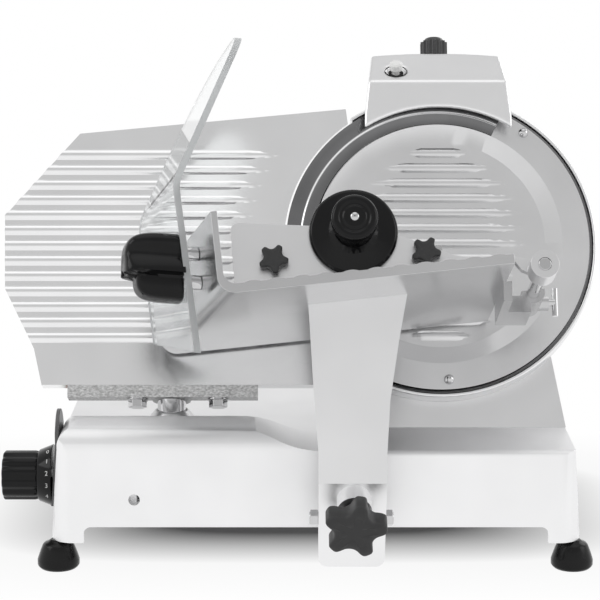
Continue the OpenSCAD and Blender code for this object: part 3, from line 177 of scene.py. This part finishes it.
def turned_steel(name, dark, light, rough, rings):
    """Polished steel with fine turning marks around the local Z axis."""
    mat, nodes, links, bsdf = new_material(name)
    bsdf.inputs["Metallic"].default_value = 1.0
    coords = nodes.new("ShaderNodeTexCoord")
    split = nodes.new("ShaderNodeSeparateXYZ")
    links.new(coords.outputs["Object"], split.inputs["Vector"])
    flat = nodes.new("ShaderNodeCombineXYZ")
    links.new(split.outputs["X"], flat.inputs["X"])
    links.new(split.outputs["Y"], flat.inputs["Y"])
    length = nodes.new("ShaderNodeVectorMath")
    length.operation = "LENGTH"
    links.new(flat.outputs["Vector"], length.inputs[0])
    ring = nodes.new("ShaderNodeCombineXYZ")
    links.new(length.outputs["Value"], ring.inputs["X"])
    fine = noise(nodes, links, ring.outputs["Vector"], rings, 5, 0.7)
    clouds = noise(nodes, links, mapped(nodes, links), 18, 3)
    links.new(tint(nodes, links, clouds, dark, light), bsdf.inputs["Base Color"])
    links.new(spread(nodes, links, fine, *rough), bsdf.inputs["Roughness"])
    bump(nodes, links, bsdf, fine, 0.12, 0.0001)
    return mat


def plastic(name, dark, light, rough, grain=900, strength=0.05, gloss=0.5):
    """Moulded plastic or rubber: faint clouds in colour and gloss, and a fine moulded grain."""
    mat, nodes, links, bsdf = new_material(name)
    bsdf.inputs["Specular IOR Level"].default_value = gloss
    clouds = noise(nodes, links, mapped(nodes, links), 25, 3)
    fine = noise(nodes, links, mapped(nodes, links), grain, 2)
    links.new(tint(nodes, links, clouds, dark, light), bsdf.inputs["Base Color"])
    links.new(spread(nodes, links, clouds, *rough), bsdf.inputs["Roughness"])
    bump(nodes, links, bsdf, fine, strength, 0.0001)
    return mat


def clear_sheet(name, colour, rough, index, clear=1.0):
    """Clear plastic with a faint haze."""
    mat, nodes, links, bsdf = new_material(name)
    bsdf.inputs["Base Color"].default_value = (*colour, 1)
    bsdf.inputs["Transmission Weight"].default_value = clear
    bsdf.inputs["IOR"].default_value = index
    haze = noise(nodes, links, mapped(nodes, links), 30, 3)
    links.new(spread(nodes, links, haze, *rough), bsdf.inputs["Roughness"])
    return mat


SATIN, POLISHED = (0.285, 0.36), (0.19, 0.265)
cast = aluminium("satin_aluminium", 0.84, 0.90, SATIN, 0.02)
base_cast = aluminium("base_aluminium", 0.87, 0.93, (0.40, 0.48), 0.02)
housing_cast = aluminium("housing_aluminium", 0.72, 0.79, SATIN, 0.02)
tray_cast = aluminium("tray_aluminium", 0.57, 0.64, POLISHED, 0.012)
fitting_cast = aluminium("fitting_aluminium", 0.52, 0.60, POLISHED, 0.015)
cover_cast = aluminium("cover_aluminium", 0.68, 0.76, (0.285, 0.34), 0.012)
plate_cast = aluminium("ribbed_aluminium", 0.83, 0.89, (0.17, 0.24), 0.012)
machined = aluminium("machined_aluminium", 0.50, 0.60, (0.26, 0.40), 0.10, stretch=(1, 1, 6))
chrome = aluminium("chrome", 0.56, 0.62, (0.05, 0.10), 0.02, grain=500)
sawn = grain_metal("sawn_aluminium", grey(0.26), grey(0.86), (0.30, 0.50), 0.6, grain=620,
                   stretch=(0.7, 1.2, 1.2), distance=0.0008, flecks=True)
# Blade steel darkened to stand for its dark mirror reflection: a painted dark reflection
blade_steel = turned_steel("blade_steel", grey(0.15, 0.003), grey(0.21, 0.003), (0.12, 0.24), 2600)
# Near-white steel for the blade's thin step rings: painted highlights
steel_painted_highlight = turned_steel("steel_painted_highlight", grey(0.78, 0.005), grey(0.86, 0.005), (0.10, 0.18), 2600)
turned = turned_steel("turned_steel", grey(0.48, 0.005), grey(0.58, 0.005), (0.16, 0.30), 2200)
black = plastic("black_plastic", grey(0.006, 0.0005), grey(0.011, 0.0005), (0.10, 0.18), gloss=0.2)
matt_black = plastic("matt_black", grey(0.020, 0.0005), grey(0.032, 0.0005), (0.42, 0.55), 700, 0.10)
rubber = plastic("foot_rubber", grey(0.007), grey(0.013), (0.16, 0.24), 500, 0.05, gloss=0.2)
belt_rubber = plastic("belt_rubber", grey(0.014), grey(0.028), (0.55, 0.7), 500, 0.2)
grey_plastic = plastic("grey_plastic", grey(0.030, 0.001), grey(0.045, 0.001), (0.30, 0.42))
dark_plate = plastic("dark_plate", grey(0.085, 0.002), grey(0.12, 0.002), (0.22, 0.34))
motor_paint = plastic("motor_paint", (0.06, 0.065, 0.07), (0.09, 0.095, 0.10), (0.35, 0.5), 400, 0.1)
white = plastic("white_plastic", grey(0.78, -0.01), grey(0.86, -0.01), (0.18, 0.28))
green = plastic("green_plastic", (0.015, 0.16, 0.045), (0.025, 0.21, 0.06), (0.22, 0.32))
red = plastic("red_plastic", (0.36, 0.016, 0.012), (0.46, 0.024, 0.018), (0.22, 0.32))
grit = plastic("grit", (0.24, 0.18, 0.12), (0.42, 0.33, 0.23), (0.8, 0.95), 700, 0.6)
clear = clear_sheet("clear_sheet", (0.97, 0.985, 0.985), (0.0, 0.02), 1.22)
clear_edge = clear_sheet("clear_edge", (0.70, 0.715, 0.72), SATIN, 1.30, 0.35)
ink = plastic("white_ink", grey(0.76, -0.01), grey(0.84, -0.01), (0.4, 0.5))
# Near-black for the gap at the blade's inner edge and the lining around the white button: painted shade of gap and
# hole
painted_shade = plastic("painted_shade_black", grey(0.006), grey(0.010), (0.6, 0.8))

# Building of pieces
SHARP_ANGLE = math.radians(34)  # edges of a CAD node sharper than this are rounded


def add_object(name, mesh, place):
    item = bpy.data.objects.new(name, mesh)
    scene.collection.objects.link(item)
    item.matrix_world = place
    return item


def add_piece(name, mesh, place, body):
    piece = add_object(name, mesh, place)
    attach(piece, body)
    return piece


def finished_mesh(bm, name, sharp, finishes):
    """The bmesh as a mesh with its finishes, whose edges are sharp above an angle in degrees."""
    mesh = bpy.data.meshes.new(name)
    bm.to_mesh(mesh)
    bm.free()
    mesh.set_sharp_from_angle(angle=math.radians(sharp))
    for finish in finishes:
        mesh.materials.append(finish)
    return mesh


def bridge(bm, rings):
    """Smooth faces from each closed ring of points to the next, and flat ends."""
    for below, above in zip(rings, rings[1:]):
        for i in range(len(below)):
            k = (i + 1) % len(below)
            bm.faces.new((below[i], below[k], above[k], above[i])).smooth = True
    bm.faces.new(rings[-1])
    bm.faces.new(reversed(rings[0]))


def skin(node, material, place, width):
    """A finished skin over a CAD node: its own mesh with clean faces and rounded edges."""
    source = frame["nodes"][node]
    mesh = source.data.copy()
    mesh.name = "skin_" + node
    bm = bmesh.new()
    bm.from_mesh(mesh)
    bmesh.ops.transform(bm, matrix=place.inverted(), verts=bm.verts)
    bmesh.ops.remove_doubles(bm, verts=bm.verts, dist=2e-6)
    bmesh.ops.dissolve_limit(bm, angle_limit=math.radians(0.6), verts=bm.verts, edges=bm.edges)
    bm.to_mesh(mesh)
    bm.free()
    mesh.polygons.foreach_set("use_smooth", [True] * len(mesh.polygons))
    mesh.set_sharp_from_angle(angle=SHARP_ANGLE)
    mesh.materials.clear()
    mesh.materials.append(material)
    piece = add_object("skin_" + node, mesh, place)
    if width:
        bevel = piece.modifiers.new("edges", "BEVEL")
        bevel.width = width
        bevel.segments = 2
        bevel.limit_method = "ANGLE"
        bevel.angle_limit = SHARP_ANGLE
        bevel.use_clamp_overlap = True
    level = piece.modifiers.new("normals", "WEIGHTED_NORMAL")
    level.mode = "FACE_AREA"
    level.weight = 90
    level.keep_sharp = True
    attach(piece, source["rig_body"])
    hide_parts(node)
    return piece


def lathe(name, outline, finishes, place, body, steps=160):
    """A turned piece from a closed outline of (radius, height, finish of the next stretch), around local Z."""
    bm = bmesh.new()
    rings = []
    for step in range(steps):
        angle = FULL_TURN * step / steps
        rings.append([bm.verts.new((r * math.cos(angle), r * math.sin(angle), z)) for r, z, _ in outline])
    count = len(outline)
    for step in range(steps):
        here, after = rings[step], rings[(step + 1) % steps]
        for i in range(count):
            k = (i + 1) % count
            face = bm.faces.new((here[i], after[i], after[k], here[k]))
            face.material_index = outline[i][2]
            face.smooth = True
    bmesh.ops.recalc_face_normals(bm, faces=bm.faces)
    return add_piece(name, finished_mesh(bm, name, 28, finishes), place, body)


def plain_lathe(name, outline, finish, place, body, steps):
    """A turned piece of one finish, from a closed outline of (radius, height)."""
    lathe(name, [(r, z, 0) for r, z in outline], [finish], place, body, steps)


def scalloped(node, place, radius, lobes, hollow_at, hollow_r, levels, finish, body, steps):
    """A knob with round hollows in its sides, stacked in levels of (inset, height)."""
    half = math.pi / lobes
    reach = []
    for step in range(steps):
        off = (FULL_TURN * step / steps) % (2 * half) - half
        inside = hollow_r ** 2 - (hollow_at * math.sin(off)) ** 2
        cut = hollow_at * math.cos(off) - math.sqrt(inside) if inside > 0 else radius
        reach.append(min(radius, cut))
    for _ in range(3):  # rounds the corners between hollows and lobes
        reach = [sum(reach[(i + k) % steps] for k in range(-2, 3)) / 5 for i in range(steps)]
    bm = bmesh.new()
    rings = []
    for inset, z in levels:
        ring = []
        for step in range(steps):
            angle = FULL_TURN * step / steps
            far = reach[step] - inset
            ring.append(bm.verts.new((far * math.cos(angle), far * math.sin(angle), z)))
        rings.append(ring)
    bridge(bm, rings)
    name = "skin_" + node
    piece = add_piece(name, finished_mesh(bm, name, 50, [finish]), place, body)
    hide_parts(node)


def star(node, place, radius, low, high, body):
    """A star knob: five lobes, rounded corners and a low crown."""
    edge = radius * 0.06
    levels = [
        (edge, low), (0, low + edge), (0, high - 1.4 * edge),
        (0.4 * edge, high - 0.5 * edge), (1.4 * edge, high), (radius * 0.36, high + 0.3 * edge),
        (radius * 0.38, high + 0.15 * edge), (radius * 0.46, high + 0.15 * edge),
    ]
    scalloped(node, place, radius, 5, radius * 1.11, radius * 0.45, levels, matt_black, body, 240)


# Skins: node, finish, frame and width of the rounded edges
SKINS = [
    ("base_casting", base_cast, WORLD, 0.0012), ("bottom_plate", turned, WORLD, 0.0004),
    ("feet", rubber, WORLD, 0.0006), ("dial_bezel", dark_plate, WORLD, 0.0005),
    ("switch_plate", black, WORLD, 0.0006), ("cord_gland", black, WORLD, 0.0006),
    ("blade_housing", housing_cast, BLADE, 0.001), ("belt_cover", housing_cast, BLADE, 0.0008),
    ("motor_body", motor_paint, BLADE, 0.0006), ("motor_cover", cast, WORLD, 0.0012),
    ("spindle_bearings", turned, SPINDLE, 0.0004), ("ring_guard", cast, SPINDLE, 0.0004),
    ("blade_cover", cover_cast, SPINDLE, 0.0005), ("cover_studs", chrome, SPINDLE, 0.0002),
    ("drive_belt", belt_rubber, SPINDLE, 0.0003), ("guide_rod", chrome, WORLD, 0.0006),
    ("steady_rod", chrome, WORLD, 0.0005), ("gauge_rod", chrome, WORLD, 0.0005),
    ("sharpener_post", chrome, BLADE, 0.0005), ("blade_spindle", turned, SPINDLE, 0.0004),
    ("big_pulley", machined, SPINDLE, 0.0004), ("motor_shaft", turned, BLADE, 0.0004),
    ("small_pulley", machined, BLADE, 0.0003), ("cover_tie_rod", turned, SPINDLE, 0.0004),
    ("cover_knob", black, SPINDLE, 0.0008), ("dial_shaft", turned, DIAL, 0.0004),
    ("dial_cam", turned, DIAL, 0.0004), ("gauge_plate", plate_cast, BLADE, 0.0006),
    ("gauge_bracket", sawn, BLADE, 0.0006), ("gauge_bolts", chrome, BLADE, 0.0005),
    ("gauge_post", chrome, WORLD, 0.0004), ("post_collar", machined, WORLD, 0.0005),
    ("gauge_slider", machined, WORLD, 0.0008), ("carriage_block", machined, WORLD, 0.001),
    ("tilt_axle", chrome, WORLD, 0.0006), ("axle_nuts", chrome, WORLD, 0.0005),
    ("carriage_arm", cast, WORLD, 0.0015), ("product_tray", tray_cast, TRAY, 0.0012),
    ("rod_guide", fitting_cast, BLADE, 0.001), ("hand_guard", clear, BLADE, 0.0005),
    ("handle_spacers", chrome, BLADE, 0.0006), ("clamp_screw", turned, WORLD, 0.0004),
    ("press_rod", chrome, BLADE, 0.0008), ("press_plate", housing_cast, BLADE, 0.001),
    ("press_disc", black, BLADE, 0.0008), ("press_spikes", turned, BLADE, 0.0003),
    ("rod_lock", chrome, BLADE, 0.0004), ("sharpener_housing", cast, BLADE, 0.0),
    ("grinding_stone", grit, BLADE, 0.0005), ("honing_stone", grit, BLADE, 0.0005),
    ("lift_knob", grey_plastic, BLADE, 0.0008), ("sharpening_button", white, BLADE, 0.0004),
    ("on_button", green, WORLD, 0.0008), ("off_button", red, WORLD, 0.0008),
]
skins = {values[0]: skin(*values) for values in SKINS}

# The sharpener's cap is a casting with soft edges all over: remeshed finely, then relaxed
cap = skins["sharpener_housing"]
cap.modifiers.clear()
remesh = cap.modifiers.new("remesh", "REMESH")
remesh.mode = "VOXEL"
remesh.voxel_size = 0.0008
remesh.use_smooth_shade = True
relax = cap.modifiers.new("relax", "SMOOTH")
relax.factor = 0.5
relax.iterations = 36

# Feet with a broad flat top close under the legs: (height in the CAD, height, radius)
FOOT_FORM = [
    (0.0, 0.0, 0.0140), (0.0015, 0.0014, 0.0155), (0.0030, 0.0030, 0.0165), (0.0065, 0.0070, 0.0165),
    (0.00967, 0.0110, 0.0152), (0.01283, 0.0150, 0.0138), (0.0160, 0.0188, 0.0122),
    (0.0180, 0.0202, 0.0108), (0.0205, 0.0212, 0.0080), (0.0230, 0.0230, 0.0060),
]
FEET_MIDDLE_Y = 0.05  # between the front and the back feet
feet = skins["feet"].data.vertices
for right in (False, True):
    for back in (False, True):
        foot = [vert for vert in feet if (vert.co.x > 0) == right and (vert.co.y > FEET_MIDDLE_Y) == back]
        middle = [(min(v.co[i] for v in foot) + max(v.co[i] for v in foot)) / 2 for i in (0, 1)]
        for vert in foot:
            _, height, radius = min(FOOT_FORM, key=lambda row: abs(row[0] - vert.co.z))
            off = Vector((vert.co.x - middle[0], vert.co.y - middle[1])).normalized() * radius
            vert.co = (middle[0] + off.x, middle[1] + off.y, height)

# Slim nuts at the ends of the tilt axle
AXLE_Y, AXLE_Z, NUT_SCALE = -0.110, 0.056, 0.7
for vert in skins["axle_nuts"].data.vertices:
    vert.co.y = AXLE_Y + (vert.co.y - AXLE_Y) * NUT_SCALE
    vert.co.z = AXLE_Z + (vert.co.z - AXLE_Z) * NUT_SCALE

# The arc of the gauge plate follows the blade's edge closely, but keeps clear of the pedestal below
ARC_FROM, ARC_TO, ARC_RADIUS = 0.1265, 0.1325, 0.1267
ARC_LOW, ARC_FADE = -0.09, 0.04
for vert in skins["gauge_plate"].data.vertices:
    off = Vector((vert.co.x - SPINDLE_X, vert.co.y))
    if ARC_FROM < off.length < ARC_TO:
        part = min(1, max(0, (vert.co.y - ARC_LOW) / ARC_FADE))
        off *= 1 + part * (ARC_RADIUS / off.length - 1)
        vert.co.x, vert.co.y = SPINDLE_X + off.x, off.y

# The dark plate behind the dial is narrow and ends behind the dial
BEZEL_SCALE, BEZEL_LOW = 20 / 38, 0.047
bezel = bmesh.new()
bezel.from_mesh(skins["dial_bezel"].data)
for vert in bezel.verts:
    vert.co.y = DIAL_Y + (vert.co.y - DIAL_Y) * BEZEL_SCALE
bmesh.ops.bisect_plane(bezel, geom=bezel.verts[:] + bezel.edges[:] + bezel.faces[:],
                       plane_co=(0, 0, BEZEL_LOW), plane_no=(0, 0, -1), clear_outer=True)
bmesh.ops.holes_fill(bezel, edges=[edge for edge in bezel.edges if edge.is_boundary])
bezel.to_mesh(skins["dial_bezel"].data)
bezel.free()

# The cut edges of the clear guard are duller than its faces
guard = skins["hand_guard"].data
guard.materials.append(clear_edge)
lean = math.radians(GUARD_LEAN)
across = Vector((math.cos(lean), 0, -math.sin(lean)))
for face in guard.polygons:
    face.material_index = 0 if abs(face.normal.dot(across)) > 0.7 else 1


# Moulded grip on the clear guard: a hood with a finger trough, and a shorter lip set back under it
def rounded_square(value):
    """Turns a circle's sine or cosine into that of a square with round corners."""
    return math.copysign(abs(value) ** 0.5, value)


GRIP_LEVELS, GRIP_STEPS = 40, 200
END_POWER = 4.5  # how square the far end is
LIP_TOP, LIP_FADE, LIP_BACK, LIP_SHORT = -0.24, 0.06, 0.0065, 0.009
TROUGH_AT, TROUGH_WIDTH, TROUGH_DEPTH = 0.34, 0.26, 0.0050
BELOW_SCALE = 0.9
FLUSH_LOW, FLUSH_LEAN = 0.0004, 0.00075  # keeps the near end on the leaning guard
cad_grip = frame["nodes"]["carriage_handle"]
corners = [GRIP.inverted() @ vert.co for vert in cad_grip.data.vertices]
grip_low = Vector([min(point[i] for point in corners) for i in range(3)])
grip_high = Vector([max(point[i] for point in corners) for i in range(3)])
grip_half, grip_mid = (grip_high - grip_low) / 2, (grip_high + grip_low) / 2
bm = bmesh.new()
grip_rings = []
for level in range(GRIP_LEVELS):
    along = math.sin(math.pi / 2 * level / GRIP_LEVELS)
    shrink = (1 - along ** END_POWER) ** (1 / END_POWER)
    ring = []
    for step in range(GRIP_STEPS):
        angle = FULL_TURN * (step + 0.5) / GRIP_STEPS
        up = rounded_square(math.sin(angle)) * shrink
        out = rounded_square(math.cos(angle)) * shrink
        lip = min(1, max(0, (LIP_TOP - up) / LIP_FADE))
        lip = lip * lip * (3 - 2 * lip)
        trough = math.exp(-((up - TROUGH_AT) / TROUGH_WIDTH) ** 2)
        flush = FLUSH_LOW + FLUSH_LEAN * (1 + up)
        ring.append(bm.verts.new((
            grip_high.x - flush - (2 * grip_half.x - flush) * along + LIP_SHORT * lip * along,
            grip_mid.y + grip_half.y * (up if up > 0 else BELOW_SCALE * up),
            grip_mid.z + grip_half.z * out - (LIP_BACK * lip + TROUGH_DEPTH * trough) * max(0, out),
        )))
    grip_rings.append(ring)
bridge(bm, grip_rings)
bmesh.ops.recalc_face_normals(bm, faces=bm.faces)
grip_mesh = finished_mesh(bm, "skin_carriage_handle", 60, [black])
grip = add_piece("skin_carriage_handle", grip_mesh, GRIP, cad_grip["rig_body"])
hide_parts("carriage_handle")

# Blade: dished middle, dark inner band, bright step and dark outer band up to the edge. The steel's dark colour is
# a painted dark reflection. The bright rings at the cover's edge and on the step are painted highlights with
# mid-grey flanks. The near-black ring inside them is painted shade of the gap under the cover.
PAINTED_DARK_STEEL, PAINTED_HIGHLIGHT, PAINTED_GAP_SHADE, HIGHLIGHT_FLANK = range(4)
blade = lathe("skin_slicer_blade", [
    (0.01005, -0.0090, PAINTED_DARK_STEEL), (0.0970, -0.0090, PAINTED_GAP_SHADE), (0.1026, -0.0045, PAINTED_HIGHLIGHT), (0.1034, -0.0039, PAINTED_DARK_STEEL),
    (0.1122, -0.0031, HIGHLIGHT_FLANK), (0.1127, -0.0028, PAINTED_HIGHLIGHT), (0.1134, -0.0022, HIGHLIGHT_FLANK), (0.1139, -0.0020, PAINTED_DARK_STEEL),
    (0.1210, -0.0012, PAINTED_DARK_STEEL), (0.1250, -0.0002, PAINTED_DARK_STEEL), (0.1210, -0.0026, PAINTED_DARK_STEEL), (0.1040, -0.0070, PAINTED_DARK_STEEL),
    (0.0990, -0.0120, PAINTED_DARK_STEEL), (0.01005, -0.0120, PAINTED_DARK_STEEL),
], [blade_steel, steel_painted_highlight, painted_shade, turned], SPINDLE, "spindle")
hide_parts("slicer_blade")

# Near-black lining of the recess around the white button: painted shade of the hole
plain_lathe("button_recess", [
    (0.0036, -0.0024), (0.0086, -0.0024), (0.0089, -0.0020), (0.0089, 0.0000),
    (0.00899, 0.0000), (0.00899, -0.00248), (0.0036, -0.00248),
], painted_shade, BUTTON, "sharpener", 64)

# Polished screw in the middle of the press knob
plain_lathe("knob_screw", [
    (0.0004, 0.0014), (0.0016, 0.0013), (0.0026, 0.0009), (0.0032, 0.0003), (0.0034, -0.0003), (0.0004, -0.0003),
], chrome, KNOB, "press", 48)

# Dial: a black cone that carries the numbers, and a fluted barrel with a shallow dish in its end
plain_lathe("dial_scale", [
    (0.0050, -0.2072), (0.0195, -0.2072), (0.0206, -0.2062), (0.0241, -0.1972),
    (0.0246, -0.1962), (0.0243, -0.1957), (0.0050, -0.1957),
], black, DIAL, "dial", 128)
scalloped("dial_knob", DIAL @ rotate(8, "Z"), 0.0196, 12, 0.0233, 0.0049, [
    (0.0085, -0.2340), (0.0070, -0.2346), (0.0052, -0.2352), (0.0030, -0.2352), (0.0016, -0.2350),
    (0.0006, -0.2345), (0.0, -0.2335), (0.0, -0.2100), (0.0004, -0.2080), (0.0012, -0.2068),
], black, "dial", 360)

# Star knobs on their hubs and stems
star("clamp_knob", CLAMP @ rotate(79, "Z"), 0.0237, 0.0240, 0.0398, "clamp")
plain_lathe("clamp_hub", [
    (0.0051, 0.0150), (0.0090, 0.0150), (0.0120, 0.0241), (0.0051, 0.0241),
], black, CLAMP, "clamp", 64)
for side, x, up in (("left", -0.0195, -0.0583), ("right", 0.0930, -0.0525)):
    there = BLADE @ shift(x, up, 0)
    star(side + "_star_knob", there @ rotate(63, "Z"), 0.0111, 0.1611, 0.1687, side + "_star")
    plain_lathe(side + "_star_stem", [
        (0.0004, 0.1470), (0.0030, 0.1470), (0.0030, 0.1583), (0.0050, 0.1583), (0.0065, 0.1613), (0.0004, 0.1613),
    ], black, there, side + "_star", 48)

# White numbers around the cone of the dial
NUMBER_COUNT, NUMBER_FIRST, NUMBER_STEP = 5, -66, 24  # degrees around the dial
NUMBER_SIZE, NUMBER_THICK = 0.0052, 0.00012
NUMBER_X, NUMBER_RADIUS = -0.1990, 0.02340
CONE_SLOPE = math.degrees(math.atan2(0.0035, 0.0090))


def dial_number(text, degrees):
    name = "dial_number_" + text
    curve = bpy.data.curves.new(name, "FONT")
    curve.body = text
    curve.size = NUMBER_SIZE
    curve.extrude = NUMBER_THICK
    curve.align_x = "CENTER"
    curve.align_y = "CENTER"
    letter = add_object(name, curve, WORLD)
    mesh = bpy.data.meshes.new_from_object(letter.evaluated_get(bpy.context.evaluated_depsgraph_get()))
    bpy.data.objects.remove(letter)
    mesh.name = name
    mesh.materials.clear()
    mesh.materials.append(ink)
    stand = rotate(degrees, "X") @ shift(NUMBER_X, -NUMBER_RADIUS, 0)
    face = rotate(-CONE_SLOPE, "Z") @ rotate(90, "X")
    add_piece(name, mesh, shift(0, DIAL_Y, DIAL_Z) @ stand @ face, "dial")


for count in range(NUMBER_COUNT):
    dial_number(str(count), NUMBER_FIRST + NUMBER_STEP * count)


# Stage
def set_levels(ramp, levels):
    """Grey stops of a colour ramp, from low to high."""
    stops = ramp.color_ramp.elements
    while len(stops) < len(levels):
        stops.new(0.5)
    for stop, (position, level) in zip(stops, levels):
        stop.position = position
        stop.color = (level, level, level, 1)


def math_node(nodes, links, kind, operation, *values):
    """A math node fed by outputs or fixed values."""
    node = nodes.new(kind)
    node.operation = operation
    for socket, value in zip(node.inputs, values):
        if isinstance(value, tuple):
            socket.default_value = value
        else:
            links.new(value, socket)
    return node


def seen_rays(nodes, links, *kinds):
    """One for the named kinds of ray and nought for light that falls on the part."""
    path = nodes.new("ShaderNodeLightPath")
    value = path.outputs[kinds[0]]
    for kind in kinds[1:]:
        larger = math_node(nodes, links, "ShaderNodeMath", "MAXIMUM", value, path.outputs[kind])
        value = larger.outputs["Value"]
    return value


# Plain floor: glowing white away from the part for the eye and in reflections. Under and near it, a dark grey
# floor colour shows through the fading glow: a painted shadow that deepens the rendered shadow there
FLOOR_CORNERS = [(-6, -4, 0), (6, -4, 0), (6, 8, 0), (-6, 8, 0)]
# Patch of painted shadow under the base: its centre, its reach, and how the white glow fades in around it
SHADOW_PATCH_CENTRE = (0.008, 0.110, 0)
SHADOW_PATCH_REACH = (0.265, 0.150, 1)
SHADOW_FADE_REACH = 2.5
SHADOW_FADE = [(0.20, 0.0), (0.30, 0.45), (0.42, 0.93), (0.70, 1.0)]


def make_floor():
    mesh = bpy.data.meshes.new("floor")
    mesh.from_pydata(FLOOR_CORNERS, [], [(0, 1, 2, 3)])
    mat, nodes, links, bsdf = new_material("floor_glow_painted_shadow")
    # Dark grey floor colour, seen only where the glow fades: painted shadow under and near the machine, on top of
    # the rendered shade
    bsdf.inputs["Base Color"].default_value = (0.17, 0.17, 0.17, 1)
    bsdf.inputs["Roughness"].default_value = 0.6
    bsdf.inputs["Specular IOR Level"].default_value = 0.1
    glow = nodes.new("ShaderNodeEmission")
    glow.inputs["Color"].default_value = (1, 1, 1, 1)
    glow.inputs["Strength"].default_value = 1.0
    coords = nodes.new("ShaderNodeTexCoord").outputs["Object"]
    centred = math_node(nodes, links, "ShaderNodeVectorMath", "SUBTRACT", coords, SHADOW_PATCH_CENTRE).outputs["Vector"]
    scaled = math_node(nodes, links, "ShaderNodeVectorMath", "DIVIDE", centred, SHADOW_PATCH_REACH).outputs["Vector"]
    square = math_node(nodes, links, "ShaderNodeVectorMath", "MULTIPLY", scaled, scaled).outputs["Vector"]
    length = math_node(nodes, links, "ShaderNodeVectorMath", "LENGTH", square).outputs["Value"]
    root = math_node(nodes, links, "ShaderNodeMath", "SQRT", length).outputs["Value"]
    fade = nodes.new("ShaderNodeMapRange")
    fade.inputs["From Max"].default_value = SHADOW_FADE_REACH
    links.new(root, fade.inputs["Value"])
    whiteness = nodes.new("ShaderNodeValToRGB")
    set_levels(whiteness, SHADOW_FADE)
    links.new(fade.outputs["Result"], whiteness.inputs["Fac"])
    straight = seen_rays(nodes, links, "Is Camera Ray", "Is Transmission Ray")
    direct = math_node(nodes, links, "ShaderNodeMath", "MULTIPLY", whiteness.outputs["Color"], straight)
    mirrored = seen_rays(nodes, links, "Is Glossy Ray")
    share = math_node(nodes, links, "ShaderNodeMath", "MAXIMUM", direct.outputs["Value"], mirrored)
    blend = nodes.new("ShaderNodeMixShader")
    links.new(share.outputs["Value"], blend.inputs["Fac"])
    links.new(bsdf.outputs["BSDF"], blend.inputs[1])
    links.new(glow.outputs["Emission"], blend.inputs[2])
    links.new(blend.outputs["Shader"], nodes["Material Output"].inputs["Surface"])
    mesh.materials.append(mat)
    add_object("floor", mesh, WORLD)


make_floor()

# Soft studio light: a white surround that darkens above the horizon and brightens overhead
SKY_FROM, SKY_TO = -0.3, 1.0  # heights of the view direction
SKY = [(0.0, 1.0), (0.47, 1.0), (0.63, 0.66), (0.90, 0.62), (0.955, 1.10), (1.0, 1.20)]


def make_world():
    world = bpy.data.worlds.new("studio")
    scene.world = world
    world.use_nodes = True
    nodes, links = world.node_tree.nodes, world.node_tree.links
    coords = nodes.new("ShaderNodeTexCoord")
    split = nodes.new("ShaderNodeSeparateXYZ")
    links.new(coords.outputs["Generated"], split.inputs["Vector"])
    height = nodes.new("ShaderNodeMapRange")
    height.inputs["From Min"].default_value = SKY_FROM
    height.inputs["From Max"].default_value = SKY_TO
    links.new(split.outputs["Z"], height.inputs["Value"])
    sky = nodes.new("ShaderNodeValToRGB")
    set_levels(sky, SKY)
    links.new(height.outputs["Result"], sky.inputs["Fac"])
    mix = nodes.new("ShaderNodeMix")
    mix.data_type = "RGBA"
    links.new(seen_rays(nodes, links, "Is Camera Ray", "Is Transmission Ray"), mix.inputs["Factor"])
    links.new(sky.outputs["Color"], mix.inputs["A"])
    mix.inputs["B"].default_value = (1, 1, 1, 1)
    background = nodes["Background"]
    links.new(mix.outputs["Result"], background.inputs["Color"])
    background.inputs["Strength"].default_value = 1.0


make_world()


def lamp(name, place, target, size, power):
    data = bpy.data.lights.new(name, "AREA")
    data.shape = "RECTANGLE"
    data.size, data.size_y = size
    data.energy = power
    item = bpy.data.objects.new(name, data)
    item.location = place
    aim = Vector(target) - Vector(place)
    item.rotation_euler = aim.to_track_quat("-Z", "Y").to_euler()
    scene.collection.objects.link(item)


lamp("key", (-2.0, -0.5, 1.7), (0, 0, 0.2), (1.4, 1.2), 11)
lamp("fill", (2.0, -0.4, 1.2), (0, 0, 0.2), (1.0, 1.2), 6)
lamp("back", (1.3, 1.4, 1.3), (0, 0, 0.25), (1.2, 0.8), 4)
